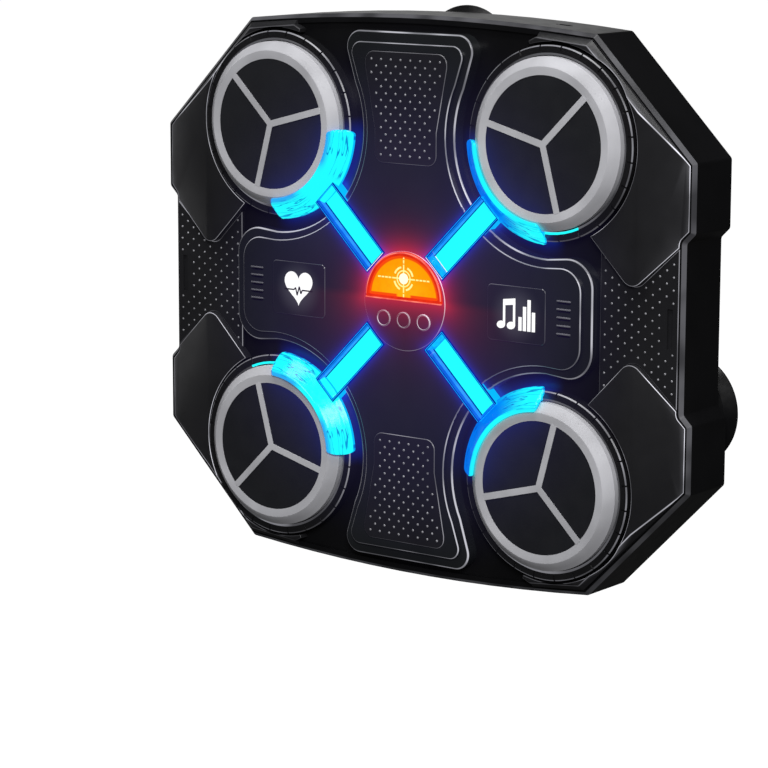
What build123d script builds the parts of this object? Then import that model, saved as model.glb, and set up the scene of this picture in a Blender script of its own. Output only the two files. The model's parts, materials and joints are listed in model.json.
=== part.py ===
"""Wall-hung boxing machine: four sprung punch targets on a black moulded housing.

Units are millimetres, +Z is up and the front faces -Y. The origin is the centre of the wall plane,
where the suction cups' rims lie. A height is a distance out from the wall, so it is -Y.
"""

import os
from math import cos, hypot, radians, sin

from build123d import *

# ---- Housing ----
BODY_WIDTH = 341.0
BODY_HEIGHT = 298.0
TOP_BOW = 5.5  # rise of the top and bottom edges at their middle
CHAMFER_WIDTH = 59.5  # corner cut, along X and along Z
CHAMFER_HEIGHT = 60.5
WAIST_HALF = 43.0  # half height of the narrower waist
WAIST_INSET = 5.0
OUTLINE_ROUND = 2.5
WALL = 2.6
REAR_H = 12.9  # height of the housing's rear face
REAR_BORDER = 22.0
REAR_RECESS = 0.8
LABEL_SIZE = (72.0, 34.0)
LIP_H = 47.5  # height of the lip round the front
RIM_WIDTH = 2.4  # lip beside the armour and the waist panels
LIP_WIDTH = 4.6  # lip at the middle of the top and bottom
LIP_DROP = 1.5  # the floor inside the lip is this much lower
RIM_BEVEL = 1.9
SEAM = 0.3  # gap at a seam between two fixed pieces

# ---- Punch targets ----
TARGET_X = 88.0
TARGET_Z = 88.0
TARGET_TRAVEL = 3.0
PAD_H = 58.9  # height of the struck face
PAD_THICK = 5.0
RING_R = 44.0
RING_FLANK = 4.8  # from the ring's edge in to its ridge
RING_FLANK_DROP = 3.7
RIDGE_WIDTH = 4.3  # from the ridge in to the pad
RIDGE_RISE = 0.6
SPOKE_WIDTH = 3.5
SPOKE_RISE = 0.3
SPOKE_DEPTH = 1.8
SPOKE_COUNT = 3
FLANGE_REACH = 3.0  # from the ring's edge out to the flange's
FLANGE_THICK = 1.5
RUN_GAP = 0.5  # radial gap round a moving target
STEM_R = 7.0
STEM_LENGTH = 6.2
FOAM_INNER_R = 18.0
FOAM_INSET = 6.0  # from the ring's edge in to the foam's
SENSOR_R = 10.0
SENSOR_THICK = 0.6

# ---- Collar round each target ----
COLLAR_WIDTH = 5.6  # from the ring's edge out to the collar's
COLLAR_H = 52.9
COLLAR_LIP = 2.4
COLLAR_NOTCHES = 24
NOTCH_WIDTH = 0.9
NOTCH_DEPTH = 0.7

# ---- Corner armour ----
ARMOUR_H = 51.4
ARMOUR_GAP = 1.4  # round the collar
ARMOUR_TIP_ANGLE = -62.0
ARMOUR_APEX_X = 137.0
ARMOUR_APEX_Z = 17.0
ARMOUR_APEX_ROUND = 7.0
ARMOUR_JOG = 10.0  # how far inboard of the target's centre the armour starts
ARMOUR_BEVEL_ANGLE = 48.0
EDGE_BREAK = 0.6

# ---- Cross panel ----
PLATEAU_H = 55.8
TERRACE_H = 53.6
PANEL_WALL = 2.2
PLATEAU_TOP_Z = 134.6
PLATEAU_TOP_HALF = 38.0
PLATEAU_CLEAR = 12.9  # from a collar to the plateau's hollow side
PLATEAU_FLARE_ANGLE = 25.0
WING_X = 110.0
WING_HALF = 26.8
END_CORNER_R = 6.0
WING_CORNER_R = 12.0
TERRACE_STEP = 5.7
TERRACE_WAIST_STEP = 4.2
PANEL_EDGE_R = 0.9

# ---- Controls ----
BEZEL_R = 26.4
BEZEL_RISE = 0.4
BEZEL_SEAT = 1.2
LENS_R = 24.6
LENS_CENTRE_Z = 1.4
LENS_BASE_Z = 0.4
LENS_RIM_WIDTH = 1.9
LENS_H = 57.4
BUTTON_R = 4.4
BUTTON_GAP = 0.35
BUTTON_PITCH = 13.0
BUTTON_Z = -10.0
BUTTON_H = 57.0
BUTTON_TRAVEL = 0.7
BUTTON_FLANGE = 1.1
BUTTON_NAMES = ("left", "middle", "right")

# ---- Icon tiles, vents and studded inserts ----
TILE_X = 71.0
TILE_WIDTH = 36.0
TILE_HEIGHT = 29.0
TILE_R = 2.6
TILE_RISE = 0.25
TILE_SEAT = 1.3
TILE_LEDGE = 3.0
VENT_X = 100.0
VENT_LENGTH = 8.0
VENT_WIDTH = 1.2
VENT_PITCH = 4.2
VENT_COUNT = 5
INSERT_TOP_Z = 130.0
INSERT_BASE_Z = 72.0
INSERT_TOP_HALF = 26.4
INSERT_BASE_HALF = 20.0
INSERT_R = 5.5
INSERT_SEAT = 1.2

# ---- Waist panels ----
WAIST_PANEL_H = 48.2
CLIP_X = 158.0
CLIP_WIDTH = 3.0
CLIP_HEIGHT = 20.0
CLIP_DEPTH = 0.9

# ---- Light guides ----
GUIDE_WIDTH = 14.5
GUIDE_START = 27.4
GUIDE_H = 56.4
GUIDE_GAP = 0.25
CRESCENT_REACH = 7.6  # from the ring's edge out to the crescent's
CRESCENT_OVERLAP = 4.4  # how far the crescent leans in over the ring
CRESCENT_H = 61.4
CRESCENT_HALF_ANGLE = 43.0

# ---- Electronics ----
BOARD_THICK = 1.6
LED_HEIGHT = 0.9
MAIN_BOARD = (96.0, 56.0)
BATTERY = (66.0, 37.0, 19.0)
SPEAKER_R = 18.0
SPEAKER_X = -132.0
SPEAKER_Z = 12.0
SPEAKER_DEPTH = 11.0
PORT_X = 81.0
PORT_H = 30.0
PORT_WIDTH = 9.0
PORT_THICK = 3.2
PORT_DEPTH = 8.0

# ---- Rear: cups and screws ----
CUP_R = 30.0
CUP_RIM = 1.6
CUP_NECK_R = 5.0
CUP_HEAD_R = 7.4
CUP_SEAT_R = 13.0
CUP_TOP_INSET = 27.0  # from the housing's top to the top cup's centre
CUP_SIDE_INSET = 30.5  # from the housing's side to a side cup's centre
CUP_SIDE_Z = -49.4
BOSS_R = 4.2
SCREW_R = 1.25
SCREW_HEAD_R = 2.8
SCREW_HEAD = 1.5
SCREW_LENGTH = 12.0
SCREW_INSET = 15.0  # from the housing's top to the upper screws
SCREW_SIDE_INSET = 14.5  # from the housing's side to the waist screws

# ---- Radii, places and heights that follow from the above ----
RIDGE_R = RING_R - RING_FLANK
PAD_R = RIDGE_R - RIDGE_WIDTH
FOAM_OUTER_R = RING_R - FOAM_INSET
FLANGE_R = RING_R + FLANGE_REACH
COLLAR_R = RING_R + COLLAR_WIDTH
ARMOUR_INNER_R = COLLAR_R + ARMOUR_GAP
PLATEAU_WAIST_R = COLLAR_R + PLATEAU_CLEAR
CRESCENT_R = RING_R + CRESCENT_REACH
CRESCENT_INNER_R = RING_R - CRESCENT_OVERLAP
CUP_TOP_Z = BODY_HEIGHT / 2 - CUP_TOP_INSET
CUP_SIDE_X = BODY_WIDTH / 2 - CUP_SIDE_INSET
SCREW_PLACES = [(45.0, BODY_HEIGHT / 2 - SCREW_INSET), (BODY_WIDTH / 2 - SCREW_SIDE_INSET, 62.0)]
FLOOR_H = LIP_H - LIP_DROP
INNER_H = FLOOR_H - WALL
REAR_INNER_H = REAR_H + WALL
CARRIER_H = PAD_H - PAD_THICK
FLANGE_H = COLLAR_H - COLLAR_LIP - SEAM
OPENING_R = FLANGE_R + RUN_GAP
CARRIER_FLOOR_H = CARRIER_H - WALL
STEM_TIP_H = CARRIER_FLOOR_H - STEM_LENGTH
WELL_FLOOR_H = STEM_TIP_H - TARGET_TRAVEL - SENSOR_THICK - SEAM * 2
PLATEAU_UNDER_H = PLATEAU_H - PANEL_WALL
CONTROL_BOARD_H = FLOOR_H + BOARD_THICK

TARGETS = {
    "top_left": (-1, 1),
    "top_right": (1, 1),
    "bottom_left": (-1, -1),
    "bottom_right": (1, -1),
}


# ---- Helpers ----
def facing_front(height):
    """Sketch plane at a height over the wall: its x is +X, its y is +Z and it faces the front."""
    return Plane(origin=(0, -height, 0), x_dir=(1, 0, 0), z_dir=(0, -1, 0))


def prism(sketch, low, high):
    """Solid over a sketch, between two heights."""
    return extrude(facing_front(low) * sketch, amount=high - low)


def disc(radius, low, high, x=0.0, z=0.0):
    return prism(Pos(x, z) * Circle(radius), low, high)


def block(width, tall, low, high, x=0.0, z=0.0):
    return prism(Pos(x, z) * Rectangle(width, tall), low, high)


def turned(profile, x=0.0, z=0.0, arc=360.0, start=0.0):
    """Solid of revolution about a line along Y through (x, z), from (radius, height) points."""
    plane = Plane(origin=(0, 0, 0), x_dir=(1, 0, 0), z_dir=(0, 0, 1))
    face = (plane * make_face(Polyline([(r, -h) for r, h in profile], close=True))).face()
    if face.normal_at().Z > 0:
        face = -face
    solid = revolve(face, axis=Axis((0, 0, 0), (0, -1, 0)), revolution_arc=arc)
    return Pos(x, 0, z) * Rot(0, -start, 0) * solid


def above_slope(point, rise_angle, outward):
    """Large block over a plane through (x, z, height) that rises inward at an angle."""
    x, z, height = point
    size = BODY_WIDTH + BODY_HEIGHT
    length = hypot(*outward)
    tilt = sin(radians(rise_angle))
    normal = (outward[0] / length * tilt, -cos(radians(rise_angle)), outward[1] / length * tilt)
    plane = Plane(origin=(x, -height, z), z_dir=normal)
    return plane * Box(size, size, size, align=(Align.CENTER, Align.CENTER, Align.MIN))


def front_edges(solid):
    """The edges that lie on the solid's foremost plane."""
    return solid.edges().group_by(Axis.Y)[0]


def target_centre(sides):
    return sides[0] * TARGET_X, sides[1] * TARGET_Z


def mirrored(solid, sides):
    """A solid made for the +X +Z corner, moved to another corner."""
    if sides[0] < 0:
        solid = mirror(solid, about=Plane.YZ)
    if sides[1] < 0:
        solid = mirror(solid, about=Plane.XY)
    return solid


# ---- Outlines ----
def body_outline():
    half_w = BODY_WIDTH / 2
    half_h = BODY_HEIGHT / 2
    cut_x = half_w - CHAMFER_WIDTH
    cut_z = half_h - TOP_BOW
    quarter = [
        (cut_x, cut_z),
        (half_w, cut_z - CHAMFER_HEIGHT),
        (half_w, WAIST_HALF + WAIST_INSET),
        (half_w - WAIST_INSET, WAIST_HALF),
    ]
    right = quarter + [(x, -z) for x, z in reversed(quarter)]
    left = [(-x, z) for x, z in right]
    edges = [
        ThreePointArc(left[0], (0, half_h), right[0]),
        Polyline(right),
        ThreePointArc(right[-1], (0, -half_h), left[-1]),
        Polyline(left),
    ]
    face = make_face(edges)
    return fillet(face.vertices(), OUTLINE_ROUND)


def inset_outline(amount):
    return offset(body_outline(), amount=-amount, kind=Kind.INTERSECTION)


def floor_outline():
    """The sunk floor inside the lip, which is wider between the armour at the top and bottom."""
    wide_half = TARGET_X - ARMOUR_JOG - SEAM
    middle = Rectangle(2 * wide_half, BODY_HEIGHT)
    return (inset_outline(RIM_WIDTH) - middle) + (inset_outline(LIP_WIDTH) & middle)


def cross_outline(end_step=0.0, waist_step=0.0):
    """The cross panel's outline: a flared end at the top and bottom and a wing at each side."""
    waist_r = PLATEAU_WAIST_R - waist_step
    flare = radians(PLATEAU_FLARE_ANGLE)
    flare_x = TARGET_X - waist_r * cos(flare)
    flare_z = TARGET_Z + waist_r * sin(flare)
    top_half = PLATEAU_TOP_HALF + end_step
    top_z = PLATEAU_TOP_Z + end_step
    wing_x = WING_X + end_step
    wing_half = WING_HALF + end_step
    edges = []
    diagonal = waist_r * sin(radians(45))
    for side_x, side_z in TARGETS.values():
        middle = (side_x * (TARGET_X - diagonal), side_z * (TARGET_Z - diagonal))
        flare_end = (side_x * flare_x, side_z * flare_z)
        arc_end = (side_x * TARGET_X, side_z * (TARGET_Z - waist_r))
        wing_corner = (side_x * wing_x, side_z * wing_half)
        edges.append(Line((0, side_z * top_z), (side_x * top_half, side_z * top_z)))
        edges.append(Line((side_x * top_half, side_z * top_z), flare_end))
        edges.append(ThreePointArc(flare_end, middle, arc_end))
        edges.append(Line(arc_end, wing_corner))
        edges.append(Line(wing_corner, (side_x * wing_x, 0)))
    face = make_face(edges)
    ends = face.vertices().filter_by(lambda v: abs(abs(v.Y) - top_z) < 1e-3 and abs(v.X) > 1)
    face = fillet(ends, END_CORNER_R + end_step / 2)
    wings = face.vertices().filter_by(lambda v: abs(abs(v.X) - wing_x) < 1e-3 and abs(v.Y) > 1)
    return fillet(wings, WING_CORNER_R + end_step / 2)


def armour_region():
    """The part of the front that one corner's armour covers, for the +X +Z corner."""
    half_w = BODY_WIDTH / 2
    half_h = BODY_HEIGHT / 2
    tip = radians(ARMOUR_TIP_ANGLE)
    beyond = 20.0
    jog_x = TARGET_X - ARMOUR_JOG
    region = Polyline(
        [
            (TARGET_X, TARGET_Z),
            (TARGET_X + ARMOUR_INNER_R * cos(tip), TARGET_Z + ARMOUR_INNER_R * sin(tip)),
            (ARMOUR_APEX_X, ARMOUR_APEX_Z),
            (half_w - WAIST_INSET, WAIST_HALF + SEAM),
            (half_w + beyond, WAIST_HALF + SEAM + beyond),
            (half_w + beyond, half_h + beyond),
            (jog_x, half_h + beyond),
            (jog_x, TARGET_Z + ARMOUR_INNER_R + LIP_WIDTH / 2),
            (jog_x - LIP_WIDTH, TARGET_Z + ARMOUR_INNER_R),
        ],
        close=True,
    )
    face = make_face(region)
    apex = face.vertices().sort_by(Axis.Y)[0]
    return fillet(apex, ARMOUR_APEX_ROUND)


def armour_outline():
    well = Pos(TARGET_X, TARGET_Z) * Circle(ARMOUR_INNER_R)
    return (armour_region() & inset_outline(RIM_WIDTH + SEAM)) - well


def insert_outline(grow=0.0):
    flare_base = INSERT_BASE_Z + (INSERT_TOP_Z - INSERT_BASE_Z) * 0.3
    flare_top = INSERT_TOP_Z - INSERT_R * 1.3
    right = [
        (INSERT_BASE_HALF, INSERT_BASE_Z),
        (INSERT_BASE_HALF, flare_base),
        (INSERT_TOP_HALF, flare_top),
        (INSERT_TOP_HALF, INSERT_TOP_Z),
    ]
    left = [(-x, z) for x, z in reversed(right)]
    face = make_face(Polyline(right + left, close=True))
    ends = (INSERT_BASE_Z, INSERT_TOP_Z)
    corners = face.vertices().filter_by(lambda v: min(abs(v.Y - end) for end in ends) < 1e-3)
    face = fillet(corners, INSERT_R)
    return offset(face, amount=grow) if grow else face


def half_moon(radius):
    """The lens's outline: a disc cut off level near its middle."""
    inset = LENS_R - radius
    cut = Pos(0, LENS_BASE_Z + inset + LENS_R) * Rectangle(4 * LENS_R, 2 * LENS_R)
    face = (Pos(0, LENS_CENTRE_Z) * Circle(radius)) & cut
    return fillet(face.vertices(), 1.2)


# ---- Housing pieces ----
def make_front_shell():
    shell = prism(body_outline(), REAR_H, LIP_H)
    shell = chamfer(front_edges(shell), RIM_BEVEL)
    shell -= prism(floor_outline(), FLOOR_H, LIP_H + WALL)
    shell -= prism(inset_outline(WALL), REAR_H - WALL, INNER_H)
    for sides in TARGETS.values():
        x, z = target_centre(sides)
        shell += disc(OPENING_R + WALL - SEAM, WELL_FLOOR_H - WALL, FLOOR_H, x, z)
        shell -= disc(OPENING_R, WELL_FLOOR_H, FLOOR_H + WALL, x, z)
        shell -= disc(SCREW_R, WELL_FLOOR_H - 2 * WALL, WELL_FLOOR_H + WALL, x + sides[0] * SENSOR_R * 1.4, z)
    for x, z in screw_places():
        shell += disc(BOSS_R, REAR_INNER_H, INNER_H + WALL / 2, x, z)
        shell -= disc(SCREW_R, REAR_INNER_H - WALL, REAR_INNER_H + SCREW_LENGTH, x, z)
    shell -= disc(SCREW_R * 4, INNER_H - WALL, FLOOR_H + WALL, 0, BUTTON_Z * 2)
    port_slot = fillet(Rectangle(PORT_WIDTH + 2 * SEAM, PORT_THICK + 2 * SEAM).vertices(), PORT_THICK / 2)
    port_plane = Plane(origin=(PORT_X, -PORT_H, BODY_HEIGHT / 2 - 3 * WALL - TOP_BOW), z_dir=(0, 0, 1))
    shell -= extrude(port_plane * port_slot, amount=6 * WALL + TOP_BOW)
    return shell


def screw_places():
    return [(sx * x, sz * z) for x, z in SCREW_PLACES for sx in (-1, 1) for sz in (-1, 1)]


def cup_places():
    return {
        "top": (0.0, CUP_TOP_Z),
        "left": (-CUP_SIDE_X, CUP_SIDE_Z),
        "right": (CUP_SIDE_X, CUP_SIDE_Z),
    }


def make_rear_shell():
    shell = prism(inset_outline(WALL + SEAM), REAR_H, REAR_INNER_H)
    flange = prism(inset_outline(WALL + SEAM), REAR_INNER_H, REAR_INNER_H + 2 * WALL)
    flange -= prism(inset_outline(2 * WALL), REAR_INNER_H - WALL, REAR_INNER_H + 3 * WALL)
    shell += flange
    sunk = inset_outline(REAR_BORDER)
    for place in cup_places().values():
        sunk -= Pos(*place) * Circle(CUP_SEAT_R)
    shell -= prism(sunk, REAR_H - WALL, REAR_H + REAR_RECESS)
    label_h = REAR_H + 2 * REAR_RECESS
    shell -= prism(RectangleRounded(*LABEL_SIZE, LABEL_SIZE[1] / 10), REAR_H - WALL, label_h)
    for x, z in screw_places():
        shell -= disc(SCREW_R + SEAM, REAR_H - WALL, REAR_INNER_H + WALL, x, z)
        shell -= disc(SCREW_HEAD_R + SEAM, REAR_H - WALL, REAR_H + SCREW_HEAD, x, z)
    for x, z in cup_places().values():
        shell -= disc(CUP_NECK_R + SEAM, REAR_H - WALL, REAR_INNER_H + WALL, x, z)
    slot_count = 7
    slot_pitch = 2 * SPEAKER_R / (slot_count + 1)
    for index in range(slot_count):
        z = (index - (slot_count - 1) / 2) * slot_pitch
        length = 2 * (SPEAKER_R**2 - z**2) ** 0.5 - 2 * WALL
        slot = SlotOverall(length, slot_pitch / 2)
        shell -= prism(Pos(SPEAKER_X, SPEAKER_Z + z) * slot, REAR_H - WALL, REAR_INNER_H + WALL)
    return shell


def make_armour(sides):
    half_w = BODY_WIDTH / 2
    half_h = BODY_HEIGHT / 2
    edge_x = half_w - RIM_WIDTH
    corner = (half_w - CHAMFER_WIDTH, half_h - TOP_BOW)
    chamfer_out = (CHAMFER_HEIGHT, CHAMFER_WIDTH)
    length = hypot(*chamfer_out)
    chamfer_point = (
        corner[0] - RIM_WIDTH * chamfer_out[0] / length,
        corner[1] - RIM_WIDTH * chamfer_out[1] / length,
        LIP_H,
    )
    top_point = (corner[0], corner[1] - RIM_WIDTH, LIP_H)
    run = max(edge_x - TARGET_X - ARMOUR_INNER_R, 1.0)
    side_angle = Vector(run, ARMOUR_H - LIP_H, 0).get_angle(Vector(1, 0, 0))
    plate = prism(armour_outline(), FLOOR_H, ARMOUR_H)
    plate -= above_slope((edge_x, 0, LIP_H), side_angle, (1, 0))
    plate -= above_slope(chamfer_point, ARMOUR_BEVEL_ANGLE, chamfer_out)
    plate -= above_slope(top_point, ARMOUR_BEVEL_ANGLE, (TOP_BOW, corner[0] / 2))
    return mirrored(plate, sides)


def make_waist_panel(side):
    inner_x = WING_X + TERRACE_STEP + 4 * SEAM
    outer_x = BODY_WIDTH / 2
    region = Pos((inner_x + outer_x) / 2, 0) * Rectangle(outer_x - inner_x, 2 * WAIST_HALF)
    region &= inset_outline(RIM_WIDTH + SEAM)
    armour = offset(armour_region(), amount=SEAM, kind=Kind.INTERSECTION)
    region -= armour
    region -= mirror(armour, about=Plane.XZ)
    for sign in (-1, 1):
        region -= Pos(TARGET_X, sign * TARGET_Z) * Circle(COLLAR_R + 4 * SEAM)
    panel = prism(region, FLOOR_H, WAIST_PANEL_H)
    panel = chamfer(front_edges(panel), EDGE_BREAK / 2)
    panel -= block(CLIP_WIDTH, CLIP_HEIGHT, WAIST_PANEL_H - CLIP_DEPTH, WAIST_PANEL_H + WALL, CLIP_X, 0)
    return mirror(panel, about=Plane.YZ) if side < 0 else panel


def make_collar(sides):
    profile = [
        (OPENING_R, FLOOR_H),
        (COLLAR_R, FLOOR_H),
        (COLLAR_R, COLLAR_H - EDGE_BREAK),
        (COLLAR_R - EDGE_BREAK, COLLAR_H),
        (RING_R + RUN_GAP + 2 * EDGE_BREAK, COLLAR_H),
        (RING_R + RUN_GAP, COLLAR_H - EDGE_BREAK),
        (RING_R + RUN_GAP, COLLAR_H - COLLAR_LIP),
        (OPENING_R, COLLAR_H - COLLAR_LIP),
    ]
    collar = turned(profile)
    notch = block(COLLAR_R - RING_R, NOTCH_WIDTH, COLLAR_H - NOTCH_DEPTH, COLLAR_H + WALL, COLLAR_R)
    for index in range(COLLAR_NOTCHES):
        collar -= Rot(0, 360 / COLLAR_NOTCHES * (index + 0.5), 0) * notch
    x, z = target_centre(sides)
    return Pos(x, 0, z) * collar


# ---- Punch targets ----
def spoke_angles(sides):
    """Directions of the three spokes: one points to the outer corner."""
    corner = {(1, 1): 45, (-1, 1): 135, (-1, -1): 225, (1, -1): 315}[sides]
    return [corner + 360 / SPOKE_COUNT * index for index in range(SPOKE_COUNT)]


def spoke_sketch(width, reach):
    return Pos(reach / 2, 0) * Rectangle(reach, width)


def make_target_ring(sides):
    profile = [
        (PAD_R, CARRIER_H),
        (PAD_R, PAD_H + RIDGE_RISE / 4),
        (RIDGE_R - 1.0, PAD_H + RIDGE_RISE * 0.9),
        (RIDGE_R, PAD_H + RIDGE_RISE),
        (RIDGE_R + 0.8, PAD_H + RIDGE_RISE * 0.3),
        (RING_R, PAD_H - RING_FLANK_DROP),
        (RING_R, FLANGE_H),
        (RING_R - 1.6, FLANGE_H),
        (RING_R - 1.6, CARRIER_H),
    ]
    ring = turned(profile)
    top = PAD_H + SPOKE_RISE
    for angle in spoke_angles(sides):
        spoke = Rot(0, 0, angle) * spoke_sketch(SPOKE_WIDTH, PAD_R + SEAM)
        ring += prism(spoke, top - SPOKE_DEPTH, top)
    x, z = target_centre(sides)
    return Pos(x, 0, z) * ring


def make_target_pad(sides):
    pad = disc(PAD_R, CARRIER_H, PAD_H)
    for angle in spoke_angles(sides):
        groove = Rot(0, 0, angle) * spoke_sketch(SPOKE_WIDTH, PAD_R + WALL)
        pad -= prism(groove, PAD_H + SPOKE_RISE - SPOKE_DEPTH, PAD_H + WALL)
        pad -= disc(SPOKE_WIDTH / 2, PAD_H + SPOKE_RISE - SPOKE_DEPTH, PAD_H + WALL)
    x, z = target_centre(sides)
    return Pos(x, 0, z) * pad


def make_target_carrier(sides):
    skirt_r = RING_R - 1.6
    carrier = disc(skirt_r, FLANGE_H - FLANGE_THICK, CARRIER_H)
    carrier += disc(FLANGE_R, FLANGE_H - FLANGE_THICK, FLANGE_H)
    carrier -= disc(FOAM_OUTER_R + 2 * SEAM, FLANGE_H - FLANGE_THICK - WALL, CARRIER_FLOOR_H)
    carrier += disc(STEM_R, STEM_TIP_H, CARRIER_FLOOR_H)
    x, z = target_centre(sides)
    return Pos(x, 0, z) * carrier


def make_rebound_foam(sides):
    foam = disc(FOAM_OUTER_R, WELL_FLOOR_H, CARRIER_FLOOR_H)
    foam -= disc(FOAM_INNER_R, WELL_FLOOR_H - WALL, CARRIER_FLOOR_H + WALL)
    x, z = target_centre(sides)
    return Pos(x, 0, z) * foam


def make_hit_sensor(sides):
    x, z = target_centre(sides)
    return disc(SENSOR_R, WELL_FLOOR_H, WELL_FLOOR_H + SENSOR_THICK, x, z)


# ---- Cross panel and what it holds ----
def guide_slot(gap=0.0):
    """Straight arm of a light guide in plan, from near the lens into the crescent's skirt."""
    reach = hypot(TARGET_X, TARGET_Z) - (COLLAR_R + CRESCENT_R) / 2
    length = reach - GUIDE_START + 2 * gap
    arm = Pos(GUIDE_START - gap + length / 2, 0) * Rectangle(length, GUIDE_WIDTH + 2 * gap)
    return Rot(0, 0, 45) * arm


def make_cross_panel():
    terrace = prism(cross_outline(TERRACE_STEP, TERRACE_WAIST_STEP), FLOOR_H, TERRACE_H)
    terrace = fillet(front_edges(terrace), PANEL_EDGE_R * 1.5)
    plateau = prism(cross_outline(), TERRACE_H - WALL, PLATEAU_H)
    plateau = fillet(front_edges(plateau), PANEL_EDGE_R)
    panel = terrace + plateau
    hollow_step = TERRACE_STEP - PANEL_WALL
    panel -= prism(
        cross_outline(hollow_step, TERRACE_WAIST_STEP - PANEL_WALL), FLOOR_H - WALL, TERRACE_H - PANEL_WALL
    )
    panel -= prism(cross_outline(-PANEL_WALL, -PANEL_WALL), TERRACE_H - 2 * PANEL_WALL, PLATEAU_UNDER_H)
    for sides in TARGETS.values():
        slot = prism(guide_slot(GUIDE_GAP), FLOOR_H - WALL, PLATEAU_H + WALL)
        panel -= mirrored(slot, sides)
    seat_h = PLATEAU_H - BEZEL_SEAT
    panel -= disc(BEZEL_R + SEAM, seat_h, PLATEAU_H + WALL)
    panel -= prism(half_moon(LENS_R - LENS_RIM_WIDTH), FLOOR_H, PLATEAU_H + WALL)
    for x in button_places():
        panel -= disc(BUTTON_R + BUTTON_GAP, FLOOR_H, PLATEAU_H + WALL, x, BUTTON_Z)
    for side in (-1, 1):
        panel -= prism(tile_outline(side, SEAM), PLATEAU_H - TILE_SEAT, PLATEAU_H + WALL)
        window = Pos(side * TILE_X, 0) * Rectangle(TILE_WIDTH - 2 * TILE_LEDGE, TILE_HEIGHT - 2 * TILE_LEDGE)
        panel -= prism(window, FLOOR_H, PLATEAU_H)
        vent = SlotOverall(VENT_LENGTH, VENT_WIDTH)
        for z in vent_places():
            panel -= prism(Pos(side * VENT_X, z) * vent, TERRACE_H - PANEL_WALL, PLATEAU_H + WALL)
    seat = prism(insert_outline(SEAM), PLATEAU_H - INSERT_SEAT, PLATEAU_H + WALL)
    panel -= seat
    panel -= mirror(seat, about=Plane.XY)
    return panel


def button_places():
    return [-BUTTON_PITCH, 0.0, BUTTON_PITCH]


def vent_places():
    return [(index - (VENT_COUNT - 1) / 2) * VENT_PITCH for index in range(VENT_COUNT)]


def tile_outline(side, grow=0.0):
    tile = RectangleRounded(TILE_WIDTH + 2 * grow, TILE_HEIGHT + 2 * grow, TILE_R + grow)
    return Pos(side * TILE_X, 0) * tile


def make_icon_tile(side):
    tile = prism(tile_outline(side), PLATEAU_H - TILE_SEAT, PLATEAU_H + TILE_RISE)
    return chamfer(front_edges(tile), EDGE_BREAK / 2)


def make_stud_insert(sign):
    insert = prism(insert_outline(), PLATEAU_H - INSERT_SEAT, PLATEAU_H + TILE_RISE)
    insert = chamfer(front_edges(insert), EDGE_BREAK / 2)
    return mirror(insert, about=Plane.XY) if sign < 0 else insert


def make_lens_bezel():
    bezel = disc(BEZEL_R, PLATEAU_H - BEZEL_SEAT, PLATEAU_H + BEZEL_RISE)
    bezel = chamfer(front_edges(bezel), EDGE_BREAK / 2)
    bezel -= prism(half_moon(LENS_R + SEAM), FLOOR_H, LENS_H)
    for x in button_places():
        bezel -= disc(BUTTON_R + BUTTON_GAP, FLOOR_H, LENS_H, x, BUTTON_Z)
    return bezel


def make_lens_rim():
    rim = prism(half_moon(LENS_R), PLATEAU_H - BEZEL_SEAT, LENS_H)
    rim = chamfer(front_edges(rim), EDGE_BREAK)
    return rim - prism(half_moon(LENS_R - LENS_RIM_WIDTH), FLOOR_H, LENS_H + WALL)


def make_target_lens():
    lens = prism(half_moon(LENS_R - LENS_RIM_WIDTH), PLATEAU_UNDER_H, LENS_H - EDGE_BREAK)
    return chamfer(front_edges(lens), EDGE_BREAK / 2)


def make_button(x):
    cap = disc(BUTTON_R, button_foot(), BUTTON_H, x, BUTTON_Z)
    cap = fillet(front_edges(cap), EDGE_BREAK)
    flange_top = PLATEAU_UNDER_H - SEAM
    return cap + disc(BUTTON_R + BUTTON_FLANGE, button_foot(), flange_top, x, BUTTON_Z)


def button_foot():
    return PLATEAU_UNDER_H - SEAM - BUTTON_FLANGE


def make_control_board():
    board = disc(LENS_R, FLOOR_H, CONTROL_BOARD_H)
    plunger_top = button_foot() - BUTTON_TRAVEL - SEAM
    for x in button_places():
        board += block(6.0, 6.0, CONTROL_BOARD_H, plunger_top - WALL / 4, x, BUTTON_Z)
        board += disc(1.7, CONTROL_BOARD_H, plunger_top, x, BUTTON_Z)
    for x in button_places():
        board += block(3.5, 2.8, CONTROL_BOARD_H, CONTROL_BOARD_H + LED_HEIGHT, x, BUTTON_PITCH)
    return board


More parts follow.
